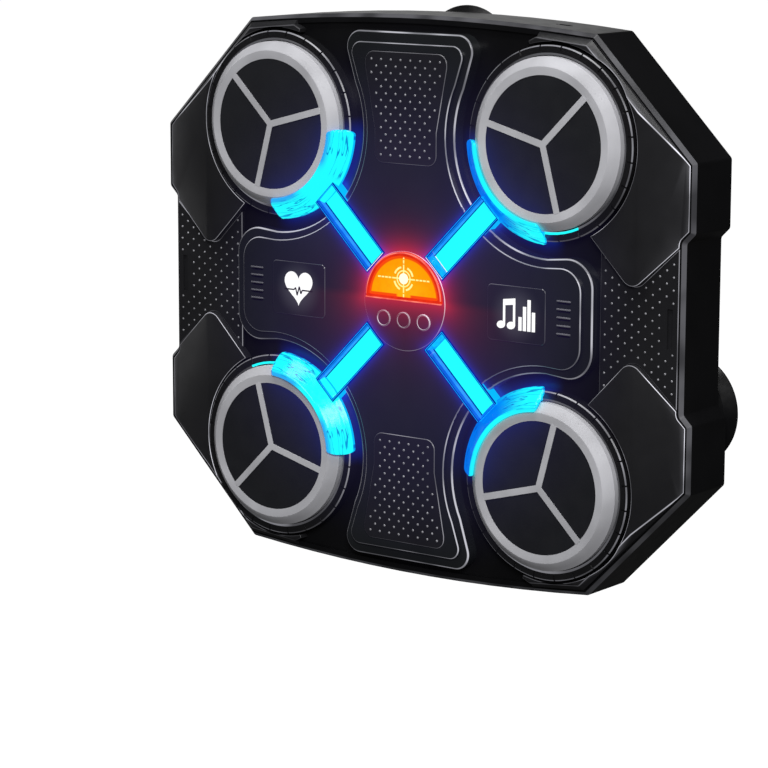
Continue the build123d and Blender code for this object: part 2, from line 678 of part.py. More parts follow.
def make_light_guide(sides):
    flank_gap = 2 * RUN_GAP
    step = (CRESCENT_R - CRESCENT_INNER_R) / 3
    profile = [
        (RING_R + RUN_GAP, COLLAR_H),
        (RING_R + RUN_GAP, PAD_H - RING_FLANK_DROP + flank_gap),
        (CRESCENT_INNER_R, PAD_H + flank_gap),
        (CRESCENT_INNER_R, CRESCENT_H - EDGE_BREAK),
        (CRESCENT_INNER_R + EDGE_BREAK, CRESCENT_H),
        (CRESCENT_INNER_R + step, CRESCENT_H - EDGE_BREAK),
        (CRESCENT_INNER_R + step, CRESCENT_H - 2 * EDGE_BREAK),
        (CRESCENT_INNER_R + 2 * step, CRESCENT_H - 3 * EDGE_BREAK),
        (CRESCENT_INNER_R + 2 * step, CRESCENT_H - 4.5 * EDGE_BREAK),
        (CRESCENT_R - EDGE_BREAK, CRESCENT_H - 6 * EDGE_BREAK),
        (CRESCENT_R, CRESCENT_H - 7 * EDGE_BREAK),
        (CRESCENT_R, COLLAR_H - 2 * EDGE_BREAK),
        (COLLAR_R + SEAM, COLLAR_H - 2 * EDGE_BREAK),
        (COLLAR_R + SEAM, COLLAR_H),
    ]
    crescent = turned(profile, TARGET_X, TARGET_Z, 2 * CRESCENT_HALF_ANGLE, 225 - CRESCENT_HALF_ANGLE)
    low = FLOOR_H + BOARD_THICK / 2 + LED_HEIGHT + SEAM
    arm = prism(guide_slot(), low, GUIDE_H)
    return mirrored(arm + crescent, sides)


def make_led_board(sides):
    reach = hypot(TARGET_X, TARGET_Z) - CRESCENT_R
    length = reach - GUIDE_START - 2.0
    middle = (reach + GUIDE_START) / 2
    board_top = FLOOR_H + BOARD_THICK / 2
    strip = prism(Rot(0, 0, 45) * Pos(middle, 0) * Rectangle(length, GUIDE_WIDTH - 4.0), FLOOR_H, board_top)
    led_count = 4
    for index in range(led_count):
        along = GUIDE_START + (index + 0.5) * (reach - GUIDE_START) / led_count
        led = Rot(0, 0, 45) * Pos(along, 0) * Rectangle(3.5, 2.8)
        strip += prism(led, board_top, board_top + LED_HEIGHT)
    return mirrored(strip, sides)


# ---- Inside the housing ----
def make_main_board():
    width, tall = MAIN_BOARD
    top = INNER_H - 2 * WALL
    board = block(width, tall, top - BOARD_THICK, top)
    for sx in (-1, 1):
        for sz in (-1, 1):
            board += disc(WALL, top, INNER_H, sx * (width / 2 - 2 * WALL), sz * (tall / 2 - 2 * WALL))
    board += block(12.0, 12.0, top - 2 * BOARD_THICK, top - BOARD_THICK, -width / 5, tall / 8)
    board += block(8.0, 5.0, top - 2 * BOARD_THICK, top - BOARD_THICK, width / 8, tall / 6)
    board += block(14.0, 6.0, top - 5 * BOARD_THICK, top - BOARD_THICK, width / 4, -tall / 3)
    return board


def battery_centre_z():
    return -(BODY_HEIGHT / 2 - TOP_BOW - WALL - BATTERY[1])


def make_battery():
    width, tall, thick = BATTERY
    pack = block(width, tall, INNER_H - thick, INNER_H, 0, battery_centre_z())
    return fillet(pack.edges().filter_by(Axis.X), WALL * 2)


def make_speaker():
    base = REAR_INNER_H
    cone_r = SPEAKER_R * 0.8
    speaker = turned(
        [
            (0, base + SPEAKER_DEPTH),
            (SPEAKER_R * 0.5, base + SPEAKER_DEPTH),
            (SPEAKER_R * 0.5, base + SPEAKER_DEPTH * 0.6),
            (SPEAKER_R, base + SPEAKER_DEPTH * 0.3),
            (SPEAKER_R, base),
            (cone_r, base),
            (cone_r * 0.4, base + SPEAKER_DEPTH * 0.4),
            (0, base + SPEAKER_DEPTH * 0.3),
        ],
        SPEAKER_X,
        SPEAKER_Z,
    )
    return speaker


def port_edge_z():
    """Height of the top edge over the port, on the bowed outline."""
    half_run = BODY_WIDTH / 2 - CHAMFER_WIDTH
    return BODY_HEIGHT / 2 - TOP_BOW * (PORT_X / half_run) ** 2


def make_charge_port():
    outer = fillet(Rectangle(PORT_WIDTH, PORT_THICK).vertices(), PORT_THICK / 2.1)
    inner = offset(outer, amount=-0.4)
    mouth_z = port_edge_z() - 1.0
    base = Plane(origin=(PORT_X, -PORT_H, mouth_z - PORT_DEPTH), z_dir=(0, 0, 1))
    port = extrude(base * outer, amount=PORT_DEPTH)
    port -= extrude(base.offset(1.5) * inner, amount=PORT_DEPTH)
    port += extrude(base.offset(1.0) * Rectangle(PORT_WIDTH - 3.0, 0.8), amount=PORT_DEPTH - 2.0)
    board = Box(PORT_WIDTH + 8.0, BOARD_THICK, PORT_DEPTH - 3.0 * WALL / 2)
    board_h = PORT_H - (PORT_THICK + BOARD_THICK) / 2
    return port + Pos(PORT_X, -board_h, mouth_z - PORT_DEPTH / 2 - WALL) * board


def make_suction_cup(place):
    profile = [
        (CUP_R - CUP_RIM, 0),
        (CUP_R, 0),
        (CUP_R, CUP_RIM / 2),
        (CUP_R * 0.84, REAR_H * 0.48),
        (CUP_R * 0.5, REAR_H * 0.74),
        (CUP_NECK_R + 3 * CUP_RIM, REAR_H * 0.84),
        (CUP_NECK_R + 2 * CUP_RIM, REAR_H),
        (CUP_NECK_R, REAR_H),
        (CUP_NECK_R, REAR_INNER_H),
        (CUP_HEAD_R, REAR_INNER_H),
        (CUP_HEAD_R - CUP_RIM, REAR_INNER_H + CUP_RIM),
        (0, REAR_INNER_H + CUP_RIM),
        (0, REAR_H * 0.6),
        (CUP_R * 0.45, REAR_H * 0.54),
        (CUP_R * 0.78, REAR_H * 0.3),
    ]
    return turned(profile, *place)


def make_screws():
    screws = []
    for x, z in screw_places():
        head_h = REAR_H + SCREW_HEAD
        screw = disc(SCREW_HEAD_R, REAR_H, head_h, x, z)
        screw += disc(SCREW_R - 0.05, head_h, head_h + SCREW_LENGTH - WALL, x, z)
        screw -= block(3.0, 0.7, REAR_H - WALL, REAR_H + SCREW_HEAD / 2, x, z)
        screw -= block(0.7, 3.0, REAR_H - WALL, REAR_H + SCREW_HEAD / 2, x, z)
        screws.append(screw)
    return Compound(children=screws)


def build_pieces():
    """Every piece, by its name."""
    pieces = {
        "front_shell": make_front_shell(),
        "rear_shell": make_rear_shell(),
        "cross_panel": make_cross_panel(),
        "lens_bezel": make_lens_bezel(),
        "lens_rim": make_lens_rim(),
        "target_lens": make_target_lens(),
        "control_board": make_control_board(),
        "main_board": make_main_board(),
        "battery_pack": make_battery(),
        "speaker": make_speaker(),
        "charge_port": make_charge_port(),
        "case_screws": make_screws(),
        "stud_insert_top": make_stud_insert(1),
        "stud_insert_bottom": make_stud_insert(-1),
    }
    for name, side in (("left", -1), ("right", 1)):
        pieces[f"waist_panel_{name}"] = make_waist_panel(side)
        pieces[f"icon_tile_{name}"] = make_icon_tile(side)
    for name, x in zip(BUTTON_NAMES, button_places()):
        pieces[f"button_{name}"] = make_button(x)
    for name, place in cup_places().items():
        pieces[f"suction_cup_{name}"] = make_suction_cup(place)
    for name, sides in TARGETS.items():
        pieces[f"armour_{name}"] = make_armour(sides)
        pieces[f"collar_{name}"] = make_collar(sides)
        pieces[f"target_ring_{name}"] = make_target_ring(sides)
        pieces[f"target_pad_{name}"] = make_target_pad(sides)
        pieces[f"target_carrier_{name}"] = make_target_carrier(sides)
        pieces[f"rebound_foam_{name}"] = make_rebound_foam(sides)
        pieces[f"light_guide_{name}"] = make_light_guide(sides)
    pieces["hit_sensors"] = Compound(children=[make_hit_sensor(sides) for sides in TARGETS.values()])
    pieces["led_boards"] = Compound(children=[make_led_board(sides) for sides in TARGETS.values()])
    return pieces


os.makedirs("parts", exist_ok=True)
for piece_name, piece in build_pieces().items():
    export_step(piece, f"parts/{piece_name}.step")
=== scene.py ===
"""Looks of a wall-hung boxing machine: finishes, lit light guides, icons, studs, lights and camera.

The classes hold their sizes in millimetres and the meshes are written in metres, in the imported
model's own frame: +X right, +Z up, the struck face towards -Y. A height is a distance out from the
wall, so it is -Y. Every finished piece sits at the origin with its place in its mesh.
"""
import json
import logging
from collections.abc import Iterable, Sequence
from dataclasses import dataclass
from enum import Enum
from functools import cached_property, reduce
from math import atan2, ceil, cos, hypot, pi, radians, sin, sqrt
from typing import ClassVar

import bmesh
import bpy
from mathutils import Matrix, Vector


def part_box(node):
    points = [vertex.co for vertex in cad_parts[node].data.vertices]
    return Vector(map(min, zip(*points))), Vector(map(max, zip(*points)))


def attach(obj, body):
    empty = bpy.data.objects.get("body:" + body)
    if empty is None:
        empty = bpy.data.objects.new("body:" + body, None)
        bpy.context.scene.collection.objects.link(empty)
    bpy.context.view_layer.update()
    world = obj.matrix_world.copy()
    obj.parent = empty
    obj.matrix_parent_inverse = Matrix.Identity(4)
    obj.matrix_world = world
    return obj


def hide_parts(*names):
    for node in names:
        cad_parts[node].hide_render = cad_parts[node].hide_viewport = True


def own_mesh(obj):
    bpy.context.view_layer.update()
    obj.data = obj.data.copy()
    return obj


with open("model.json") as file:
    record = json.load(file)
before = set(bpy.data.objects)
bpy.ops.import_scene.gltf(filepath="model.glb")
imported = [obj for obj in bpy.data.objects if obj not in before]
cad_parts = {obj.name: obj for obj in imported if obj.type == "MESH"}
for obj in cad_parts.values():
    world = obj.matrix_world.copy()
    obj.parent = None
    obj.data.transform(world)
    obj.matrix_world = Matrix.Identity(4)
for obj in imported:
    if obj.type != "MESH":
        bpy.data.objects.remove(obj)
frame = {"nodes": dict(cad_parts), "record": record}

MM = 0.001
HALF_ROOT = sqrt(0.5)
WELD = 2e-6  # metres within which two vertices are one
GENTLE = 24.0  # degrees below which a packed edge is shaded smooth
HOUSING = "housing"

Point = tuple[float, float]
Colour = tuple[float, float, float]
Socket = bpy.types.NodeSocket

log = logging.getLogger("boxing_machine")


class Corner(Enum):
    """The machine's four corners, as signs along X and Z."""

    TOP_LEFT = (-1, 1)
    TOP_RIGHT = (1, 1)
    BOTTOM_LEFT = (-1, -1)
    BOTTOM_RIGHT = (1, -1)

    @property
    def label(self) -> str:
        """The corner's name as node names spell it."""
        return self.name.lower()

    @property
    def inward(self) -> float:
        """Direction from the corner's target to the machine's middle, in radians."""
        return atan2(-self.value[1], -self.value[0])


class Side(Enum):
    """The machine's left and right, as signs along X."""

    LEFT = -1
    RIGHT = 1

    @property
    def label(self) -> str:
        """The side's name as node names spell it."""
        return self.name.lower()


@dataclass(frozen=True)
class Span:
    """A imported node's box in millimetres: X and Z ranges, and its lowest and highest height."""

    left: float
    right: float
    base: float
    top: float
    low: float
    high: float

    @classmethod
    def of(cls, node: str) -> "Span":
        """Read a node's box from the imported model.

        Args:
            node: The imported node's name.

        Returns:
            Its box, in millimetres.
        """
        lowest, highest = (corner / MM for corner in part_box(node))
        return cls(lowest.x, highest.x, lowest.z, highest.z, -highest.y, -lowest.y)

    @property
    def centre(self) -> Point:
        """The middle of the box across the front."""
        return (self.left + self.right) / 2, (self.base + self.top) / 2

    @property
    def radius(self) -> float:
        """Half of the box's width."""
        return (self.right - self.left) / 2


# ---- Node trees ----
class NodeBuilder:
    """Short calls that add nodes to a tree and link them."""

    def __init__(self, tree: bpy.types.NodeTree) -> None:
        """Take the tree that is built."""
        self.tree = tree

    def node(self, kind: str, settings: dict | None = None, **inputs: object) -> bpy.types.Node:
        """Add a node.

        Args:
            kind: The node's type name.
            settings: Its properties.
            **inputs: Sockets or constants by input name, where _ stands for a space.

        Returns:
            The new node.
        """
        made = self.tree.nodes.new(kind)
        for key, value in (settings or {}).items():
            setattr(made, key, value)
        for key, value in inputs.items():
            self.put(made.inputs[key.replace("_", " ")], value)
        return made

    def put(self, target: Socket, value: object) -> None:
        """Link a socket, or set a constant, into an input.

        Args:
            target: The input.
            value: The socket or the constant.
        """
        if isinstance(value, bpy.types.NodeSocket):
            self.tree.links.new(value, target)
        else:
            target.default_value = value

    def math(self, operation: str, *values: object) -> Socket:
        """Add a math node.

        Args:
            operation: Blender's name for it.
            *values: Sockets or numbers.

        Returns:
            The result.
        """
        made = self.node("ShaderNodeMath", {"operation": operation})
        for target, value in zip(made.inputs, values):
            self.put(target, value)
        return made.outputs[0]

    def times(self, first: object, second: object) -> Socket:
        """The product of two numbers."""
        return self.math("MULTIPLY", first, second)

    def over(self, first: object, second: object) -> Socket:
        """The first number divided by the second."""
        return self.math("DIVIDE", first, second)

    def plus(self, first: object, second: object) -> Socket:
        """The sum of two numbers."""
        return self.math("ADD", first, second)

    def minus(self, first: object, second: object) -> Socket:
        """The first number less the second."""
        return self.math("SUBTRACT", first, second)

    def larger(self, first: object, second: object) -> Socket:
        """The larger of two numbers."""
        return self.math("MAXIMUM", first, second)

    def size(self, value: object) -> Socket:
        """A number without its sign."""
        return self.math("ABSOLUTE", value)

    def vector(self, operation: str, *values: object, scale: float | None = None) -> Socket:
        """Add a vector math node.

        Args:
            operation: Blender's name for it.
            *values: Sockets or triples.
            scale: The factor of a SCALE operation.

        Returns:
            The result, a number for LENGTH and DOT_PRODUCT and a vector otherwise.
        """
        made = self.node("ShaderNodeVectorMath", {"operation": operation})
        for target, value in zip(made.inputs, values):
            self.put(target, value)
        if scale is not None:
            made.inputs["Scale"].default_value = scale
        return made.outputs["Value" if operation in ("LENGTH", "DOT_PRODUCT") else "Vector"]

    def combine(self, x: object, y: object, z: object = 0.0) -> Socket:
        """The vector of three numbers."""
        return self.node("ShaderNodeCombineXYZ", X=x, Y=y, Z=z).outputs[0]

    def split(self, vector: Socket) -> tuple[Socket, Socket, Socket]:
        """The three numbers of a vector."""
        return tuple(self.node("ShaderNodeSeparateXYZ", Vector=vector).outputs)


class Graph(NodeBuilder):
    """One material's shader tree, with short calls for the nodes that the finishes use."""

    def __init__(self, name: str) -> None:
        """Start a material.

        Args:
            name: The material's name.
        """
        self.material = bpy.data.materials.get(name) or bpy.data.materials.new(name)
        self.material.use_nodes = True
        super().__init__(self.material.node_tree)
        self.tree.nodes.clear()
        self.shader = self.node("ShaderNodeBsdfPrincipled")
        surface = self.node("ShaderNodeOutputMaterial").inputs["Surface"]
        self.put(surface, self.shader.outputs["BSDF"])

    @cached_property
    def place(self) -> Socket:
        """Object coordinates in millimetres."""
        return self.vector("SCALE", self.node("ShaderNodeTexCoord").outputs["Object"], scale=1 / MM)

    @cached_property
    def axes(self) -> tuple[Socket, Socket, Socket]:
        """The three object coordinates in millimetres."""
        return self.split(self.place)

    @cached_property
    def normal(self) -> Socket:
        """The surface's direction in object space."""
        return self.node("ShaderNodeTexCoord").outputs["Normal"]

    def reach(self, centre: Point) -> Socket:
        """Distance across the front from a point, in millimetres."""
        off = self.vector("SUBTRACT", self.place, (centre[0], 0.0, centre[1]))
        return self.vector("LENGTH", self.vector("MULTIPLY", off, (1.0, 0.0, 1.0)))

    def round_target(self, target: Point) -> tuple[Socket, Socket, Socket, Socket]:
        """Place about the nearest target's centre, the same in all four corners.

        Args:
            target: The upper right target's centre.

        Returns:
            The offsets outwards along X and Z, the distance, and how squarely the place lies towards
            the machine's middle, 1 at its nearest.
        """
        x, _, z = self.axes
        off_x = self.minus(self.size(x), target[0])
        off_z = self.minus(self.size(z), target[1])
        distance = self.hypot(off_x, off_z)
        facing = self.over(self.times(self.plus(off_x, off_z), -HALF_ROOT), self.larger(distance, 1.0))
        return off_x, off_z, distance, facing

    def fade(
        self, value: Socket, start: float, end: float, first: float = 1.0, last: float = 0.0
    ) -> Socket:
        """Smooth change from one number to another.

        Args:
            value: What drives it.
            start: Where it leaves the first number.
            end: Where it reaches the last number.
            first: The result up to start.
            last: The result from end on.

        Returns:
            The result.
        """
        made = self.node("ShaderNodeMapRange", {"interpolation_type": "SMOOTHSTEP"}, Value=value)
        for key, number in zip(("From Min", "From Max", "To Min", "To Max"), (start, end, first, last)):
            made.inputs[key].default_value = number
        return made.outputs["Result"]

    def rise(self, value: Socket, start: float, end: float) -> Socket:
        """Smooth change from 0 at start to 1 at end."""
        return self.fade(value, start, end, 0.0, 1.0)

    def decay(self, distance: Socket, length: float, start: float = 0.0) -> Socket:
        """Light that falls off exponentially.

        Args:
            distance: Millimetres from the source.
            length: Millimetres over which it falls to about a third.
            start: Where it starts to fall.

        Returns:
            The share of light.
        """
        beyond = self.larger(self.minus(distance, start), 0.0)
        return self.math("EXPONENT", self.times(beyond, -1.0 / length))

    def hypot(self, first: Socket, second: Socket) -> Socket:
        """Length of the diagonal of two numbers."""
        return self.math("SQRT", self.plus(self.times(first, first), self.times(second, second)))

    def noise(self, size: float, detail: float = 2.0, place: Socket | None = None) -> Socket:
        """Noise from 0 to 1.

        Args:
            size: Millimetres across one blotch.
            detail: Octaves of finer noise.
            place: Where it is read, or the piece's own coordinates.

        Returns:
            The noise value.
        """
        where = self.place if place is None else place
        made = self.node("ShaderNodeTexNoise", Vector=where, Scale=1 / size, Detail=detail)
        return made.outputs["Fac"]

    def mix(self, share: object, first: object, second: object) -> Socket:
        """Colour between two colours.

        Args:
            share: How much of the second colour shows.
            first: The first colour, as a socket or a triple.
            second: The second colour.

        Returns:
            The colour.
        """
        made = self.node("ShaderNodeMix", {"data_type": "RGBA"})
        for index, value in ((0, share), (6, first), (7, second)):
            plain = isinstance(value, tuple) and len(value) == 3
            self.put(made.inputs[index], (*value, 1.0) if plain else value)
        return made.outputs[2]

    def tinted(self, colour: Colour, strength: Socket) -> Socket:
        """A colour, as a vector, times a number.

        Args:
            colour: The colour.
            strength: The number.

        Returns:
            The product.
        """
        made = self.node("ShaderNodeVectorMath", {"operation": "SCALE"}, Scale=strength)
        made.inputs[0].default_value = colour
        return made.outputs["Vector"]

    def bump(self, height: Socket, depth: float) -> None:
        """Roughen the surface.

        Args:
            height: A number from 0 to 1.
            depth: Its depth in millimetres.
        """
        made = self.node("ShaderNodeBump", Height=height, Distance=depth * MM)
        self.put(self.shader.inputs["Normal"], made.outputs["Normal"])

    def shade(self, **values: object) -> None:
        """Set the surface shader's inputs, with _ for a space in their names."""
        for key, value in values.items():
            plain = isinstance(value, tuple) and len(value) == 3
            self.put(self.shader.inputs[key.replace("_", " ")], (*value, 1.0) if plain else value)


# ---- Finishes ----
@dataclass(frozen=True)
class GlowSpill:
    """Coloured light that the lens and the light guides throw on the mouldings round them, painted into the
    mouldings' emission by place.

    A value that ends in _fall is the millimetres over which that light falls to about a third.
    """

    target: Point
    lens_radius: float = 26.0
    lens_base: float = 1.0
    arm_half: float = 7.8
    arm_start: float = 26.0
    arm_end: float = 80.0
    guide_radius: float = 51.6
    ring_radius: float = 44.0
    pad_margin: float = 3.0
    red: Colour = (0.40, 0.008, 0.010)
    red_fall: float = 5.2
    wine: Colour = (0.020, 0.0, 0.008)
    wine_fall: float = 20.0
    ember: Colour = (0.14, 0.005, 0.008)
    ember_fall: float = 13.0
    blue: Colour = (0.0, 0.014, 0.28)
    blue_fall: float = 2.2
    crescent_share: float = 0.6
    crescent_fall: float = 3.2
    haze: Colour = (0.004, 0.003, 0.042)
    haze_fall: float = 10.0
    cast: Colour = (0.007, 0.006, 0.025)
    cast_reach: tuple[float, float] = (60.0, 150.0)
    pad: Colour = (0.0, 0.006, 0.10)
    pad_fall: float = 9.0

    def lens_distance(self, graph: Graph) -> Socket:
        """Distance from the half-moon lens.

        Args:
            graph: The material's shader tree.

        Returns:
            The distance, in millimetres.
        """
        x, _, z = graph.axes
        above = graph.larger(graph.minus(z, self.lens_base), 0.0)
        below = graph.larger(graph.minus(self.lens_base, z), 0.0)
        beside = graph.minus(graph.hypot(x, above), self.lens_radius)
        return graph.hypot(graph.larger(beside, 0.0), below)

    def arm_distance(self, graph: Graph) -> Socket:
        """Distance from the nearest guide's arm.

        Args:
            graph: The material's shader tree.

        Returns:
            The distance, in millimetres.
        """
        x, _, z = graph.axes
        wide, tall = graph.size(x), graph.size(z)
        across = graph.times(graph.size(graph.minus(wide, tall)), HALF_ROOT)
        along = graph.times(graph.plus(wide, tall), HALF_ROOT)
        before = graph.larger(graph.minus(self.arm_start, along), 0.0)
        after = graph.larger(graph.minus(along, self.arm_end), 0.0)
        off_arm = graph.larger(graph.minus(across, self.arm_half), 0.0)
        return graph.hypot(off_arm, graph.plus(before, after))

    def colour(self, graph: Graph) -> Socket:
        """The spilt light's colour at each place.

        Args:
            graph: The material's shader tree.

        Returns:
            The colour, as a vector.
        """
        x, _, z = graph.axes
        arm, lens = self.arm_distance(graph), self.lens_distance(graph)
        _, _, distance, facing = graph.round_target(self.target)
        inward = graph.minus(self.ring_radius, distance)
        beside = graph.larger(inward, graph.minus(distance, self.guide_radius))
        outside = graph.times(graph.decay(beside, self.crescent_fall), graph.rise(facing, 0.60, 0.80))
        near_edge = graph.decay(inward, self.pad_fall, self.pad_margin)
        on_pad = graph.times(near_edge, graph.rise(facing, 0.35, 0.95))
        edge = graph.rise(inward, self.pad_margin - 1.0, self.pad_margin + 1.0)
        below = graph.fade(z, -2.0, 4.0)
        parts = (
            (self.red, graph.decay(lens, self.red_fall)),
            (self.wine, graph.decay(lens, self.wine_fall)),
            (self.ember, graph.times(graph.decay(lens, self.ember_fall), below)),
            (self.blue, graph.decay(arm, self.blue_fall)),
            (self.blue, graph.times(outside, self.crescent_share)),
            (self.haze, graph.decay(arm, self.haze_fall)),
            (self.cast, graph.fade(graph.hypot(x, z), *self.cast_reach)),
            (self.pad, graph.times(on_pad, edge)),
        )
        first, *others = (graph.tinted(*part) for part in parts)
        return reduce(lambda total, part: graph.vector("ADD", total, part), others, first)


@dataclass(frozen=True)
class Finish:
    """A named finish that paints its own shader tree."""

    name: str

    def paint(self, graph: Graph) -> None:
        """Build the tree; every kind of finish has its own way."""
        raise NotImplementedError

    def build(self) -> bpy.types.Material:
        """Make the material.

        Returns:
            The new material.
        """
        graph = Graph(self.name)
        self.paint(graph)
        return graph.material


@dataclass(frozen=True)
class MouldedPlastic(Finish):
    """Moulded plastic with a fine spark-eroded grain and faint flow marks, and painted light: the spill of
    the lens and guides, glow round the icons and highlights along rounded edges.
    """

    GLINT_WAY: ClassVar[tuple[float, float, float]] = (0.55, 0.0, 0.83)
    # Painted glow that the lit icons throw on the tile round them.
    ICON_HALO: ClassVar[Colour] = (0.035, 0.035, 0.042)

    tint: Colour
    roughness: float = 0.36
    grain: float = 0.45
    depth: float = 0.004
    gloss: float = 0.5
    spill: GlowSpill | None = None
    icons: tuple[Point, ...] = ()
    glint: float = 0.0
    tilt: tuple[float, float] = (0.28, 0.94)
    glint_from: float = 0.0

    def edge_glint(self, graph: Graph) -> Socket:
        """Painted highlight along rounded edges, strongest where they face up and to the right.

        Args:
            graph: The material's shader tree.

        Returns:
            The sheen's colour, as a vector.
        """
        low, high = self.tilt
        front = graph.size(graph.split(graph.normal)[1])
        tilted = graph.times(graph.rise(front, low, low + 0.12), graph.fade(front, high - 0.07, high))
        upwards = graph.vector("DOT_PRODUCT", graph.normal, self.GLINT_WAY)
        towards = graph.fade(upwards, -0.15, 0.5, 0.34, 1.0)
        patchy = graph.fade(graph.noise(24.0, 1.0), 0.36, 0.62, 0.35, 1.0)
        share = graph.times(graph.times(tilted, towards), patchy)
        if self.glint_from:
            wide = graph.size(graph.axes[0])
            outer = graph.fade(wide, self.glint_from, self.glint_from + 20.0, 0.08, 1.0)
            share = graph.times(share, outer)
        return graph.tinted((self.glint, self.glint, self.glint * 1.1), share)

    def paint(self, graph: Graph) -> None:
        """Build the tree.

        Args:
            graph: The material's shader tree.
        """
        flow = graph.noise(38.0, 3.0)
        worn = tuple(min(1.0, channel * 1.35) for channel in self.tint)
        rub = graph.fade(graph.noise(6.0, 4.0), 0.30, 0.75, -0.02, 0.03)
        graph.shade(
            Base_Color=graph.mix(graph.rise(flow, 0.3, 0.7), self.tint, worn),
            Roughness=graph.plus(rub, self.roughness),
            Specular_IOR_Level=self.gloss,
        )
        graph.bump(graph.noise(self.grain, 2.0), self.depth)
        # Painted light, as emission: the spill of the lens and guides, glow round the icons, and a painted
        # highlight along rounded edges.
        if self.spill:
            light = self.spill.colour(graph)
            for place in self.icons:
                halo = graph.tinted(self.ICON_HALO, graph.fade(graph.reach(place), 4.0, 17.0))
                light = graph.vector("ADD", light, halo)
            if self.glint:
                light = graph.vector("ADD", light, self.edge_glint(graph))
            graph.shade(Emission_Color=light, Emission_Strength=1.0)


@dataclass(frozen=True)
class RubberSkin(Finish):
    """Matt rubber with a close pebble grain."""

    tint: Colour
    roughness: float = 0.62
    pebble: float = 0.9
    depth: float = 0.03
    spill: GlowSpill | None = None

    def paint(self, graph: Graph) -> None:
        """Build the tree.

        Args:
            graph: The material's shader tree.
        """
        cells = graph.node("ShaderNodeTexVoronoi", {"feature": "SMOOTH_F1"}, Vector=graph.place,
                           Scale=1 / self.pebble).outputs["Distance"]
        pale = tuple(channel * 1.5 for channel in self.tint)
        graph.shade(
            Base_Color=graph.mix(graph.noise(22.0, 4.0), self.tint, pale),
            Roughness=graph.fade(
                graph.noise(9.0, 3.0), 0.3, 0.7, self.roughness - 0.06, self.roughness + 0.06
            ),
            Specular_IOR_Level=0.3,
        )
        graph.bump(cells, self.depth)
        # Painted light: the spill of the lens and guides on the pads, as emission.
        if self.spill:
            graph.shade(Emission_Color=self.spill.colour(graph), Emission_Strength=1.0)


@dataclass(frozen=True)
class LitAcrylic(Finish):
    """Clear acrylic lit from below: one colour where it faces the front, others on its slopes and walls,
    the deeper blues being painted shade.
    """

    face: Colour
    slope: Colour
    wall: Colour
    streak: Colour
    depth: Colour
    target: Point
    inner_radius: float
    streaks: float = 0.0

    def paint(self, graph: Graph) -> None:
        """Build the tree.

        Args:
            graph: The material's shader tree.
        """
        side, front, _ = graph.split(graph.normal)
        # Painted shade of the glowing acrylic: deeper blue on upright walls and on slopes that face left.
        upright = graph.fade(graph.size(front), 0.10, 0.50)
        colour = graph.mix(upright, self.face, self.wall)
        colour = graph.mix(graph.fade(side, -0.45, -0.10), colour, self.slope)
        off_x, off_z, distance, facing = graph.round_target(self.target)
        on_left = graph.fade(graph.axes[0], -5.0, 5.0, 0.8, 0.1)
        clear = graph.times(graph.fade(distance, self.inner_radius + 1.0, self.inner_radius + 4.0), on_left)
        colour = graph.mix(graph.times(clear, graph.fade(facing, 0.93, 0.99)), colour, self.depth)
        angle = graph.math("ARCTAN2", off_z, off_x)
        polar = graph.combine(graph.times(distance, 0.5), graph.times(angle, 1.7))
        lines = graph.node("ShaderNodeTexNoise", Vector=polar, Scale=1.0, Detail=2.5).outputs["Fac"]
        thin = graph.fade(graph.size(graph.minus(lines, 0.47)), 0.008, 0.024)
        on_crescent = graph.rise(distance, self.inner_radius + 1.0, self.inner_radius + 3.0)
        ringed = graph.times(on_crescent, graph.fade(facing, 0.965, 0.985))
        share = graph.times(graph.times(thin, ringed), self.streaks)
        graph.shade(
            Base_Color=(0.0, 0.05, 0.10),
            Roughness=graph.fade(graph.noise(2.5, 2.0), 0.3, 0.7, 0.10, 0.22),
            Emission_Color=graph.mix(share, colour, self.streak),
            Emission_Strength=1.0,
            Specular_IOR_Level=0.2,
        )
        graph.bump(graph.noise(1.8, 2.0), 0.02)


@dataclass(frozen=True)
class Glow(Finish):
    """Evenly lit diffuser with a faint mottle; some of its uses are glowing strips that are painted
    highlights.
    """

    bright: Colour
    dim: Colour
    mottle: float = 2.2
    roughness: float = 0.25

    def paint(self, graph: Graph) -> None:
        """Build the tree.

        Args:
            graph: The material's shader tree.
        """
        patchy = graph.rise(graph.noise(self.mottle, 3.0), 0.35, 0.65)
        graph.shade(
            Base_Color=tuple(channel * 0.2 for channel in self.dim),
            Roughness=self.roughness,
            Emission_Color=graph.mix(patchy, self.bright, self.dim),
            Emission_Strength=1.0,
        )
        graph.bump(graph.noise(1.2, 2.0), 0.008)


@dataclass(frozen=True)
class LensAcrylic(Finish):
    """Amber half-moon acrylic: bright in the field, red at its edges."""

    centre: Point
    field_radius: float
    base: float
    amber: Colour = (1.0, 0.335, 0.0)
    warm: Colour = (1.0, 0.42, 0.004)
    red: Colour = (0.86, 0.060, 0.004)

    def paint(self, graph: Graph) -> None:
        """Build the tree.

        Args:
            graph: The material's shader tree.
        """
        x, _, z = graph.axes
        reach = graph.reach(self.centre)
        rim = graph.rise(reach, self.field_radius - 0.5, self.field_radius + 0.2)
        strip = graph.fade(z, self.base + 3.0, self.base + 3.5)
        gap = graph.rise(graph.size(x), 3.6, 5.2)
        edge = graph.larger(rim, graph.times(strip, gap))
        field = graph.mix(graph.fade(reach, 5.0, 22.0), self.amber, self.warm)
        mottled = graph.mix(graph.fade(graph.noise(3.0, 3.0), 0.4, 0.7, 0.0, 0.12), field, self.red)
        graph.shade(
            Base_Color=(0.12, 0.03, 0.0),
            Roughness=0.16,
            Emission_Color=graph.mix(edge, mottled, self.red),
            Emission_Strength=1.0,
            Coat_Weight=0.2,
        )
        graph.bump(graph.noise(2.0, 2.0), 0.01)


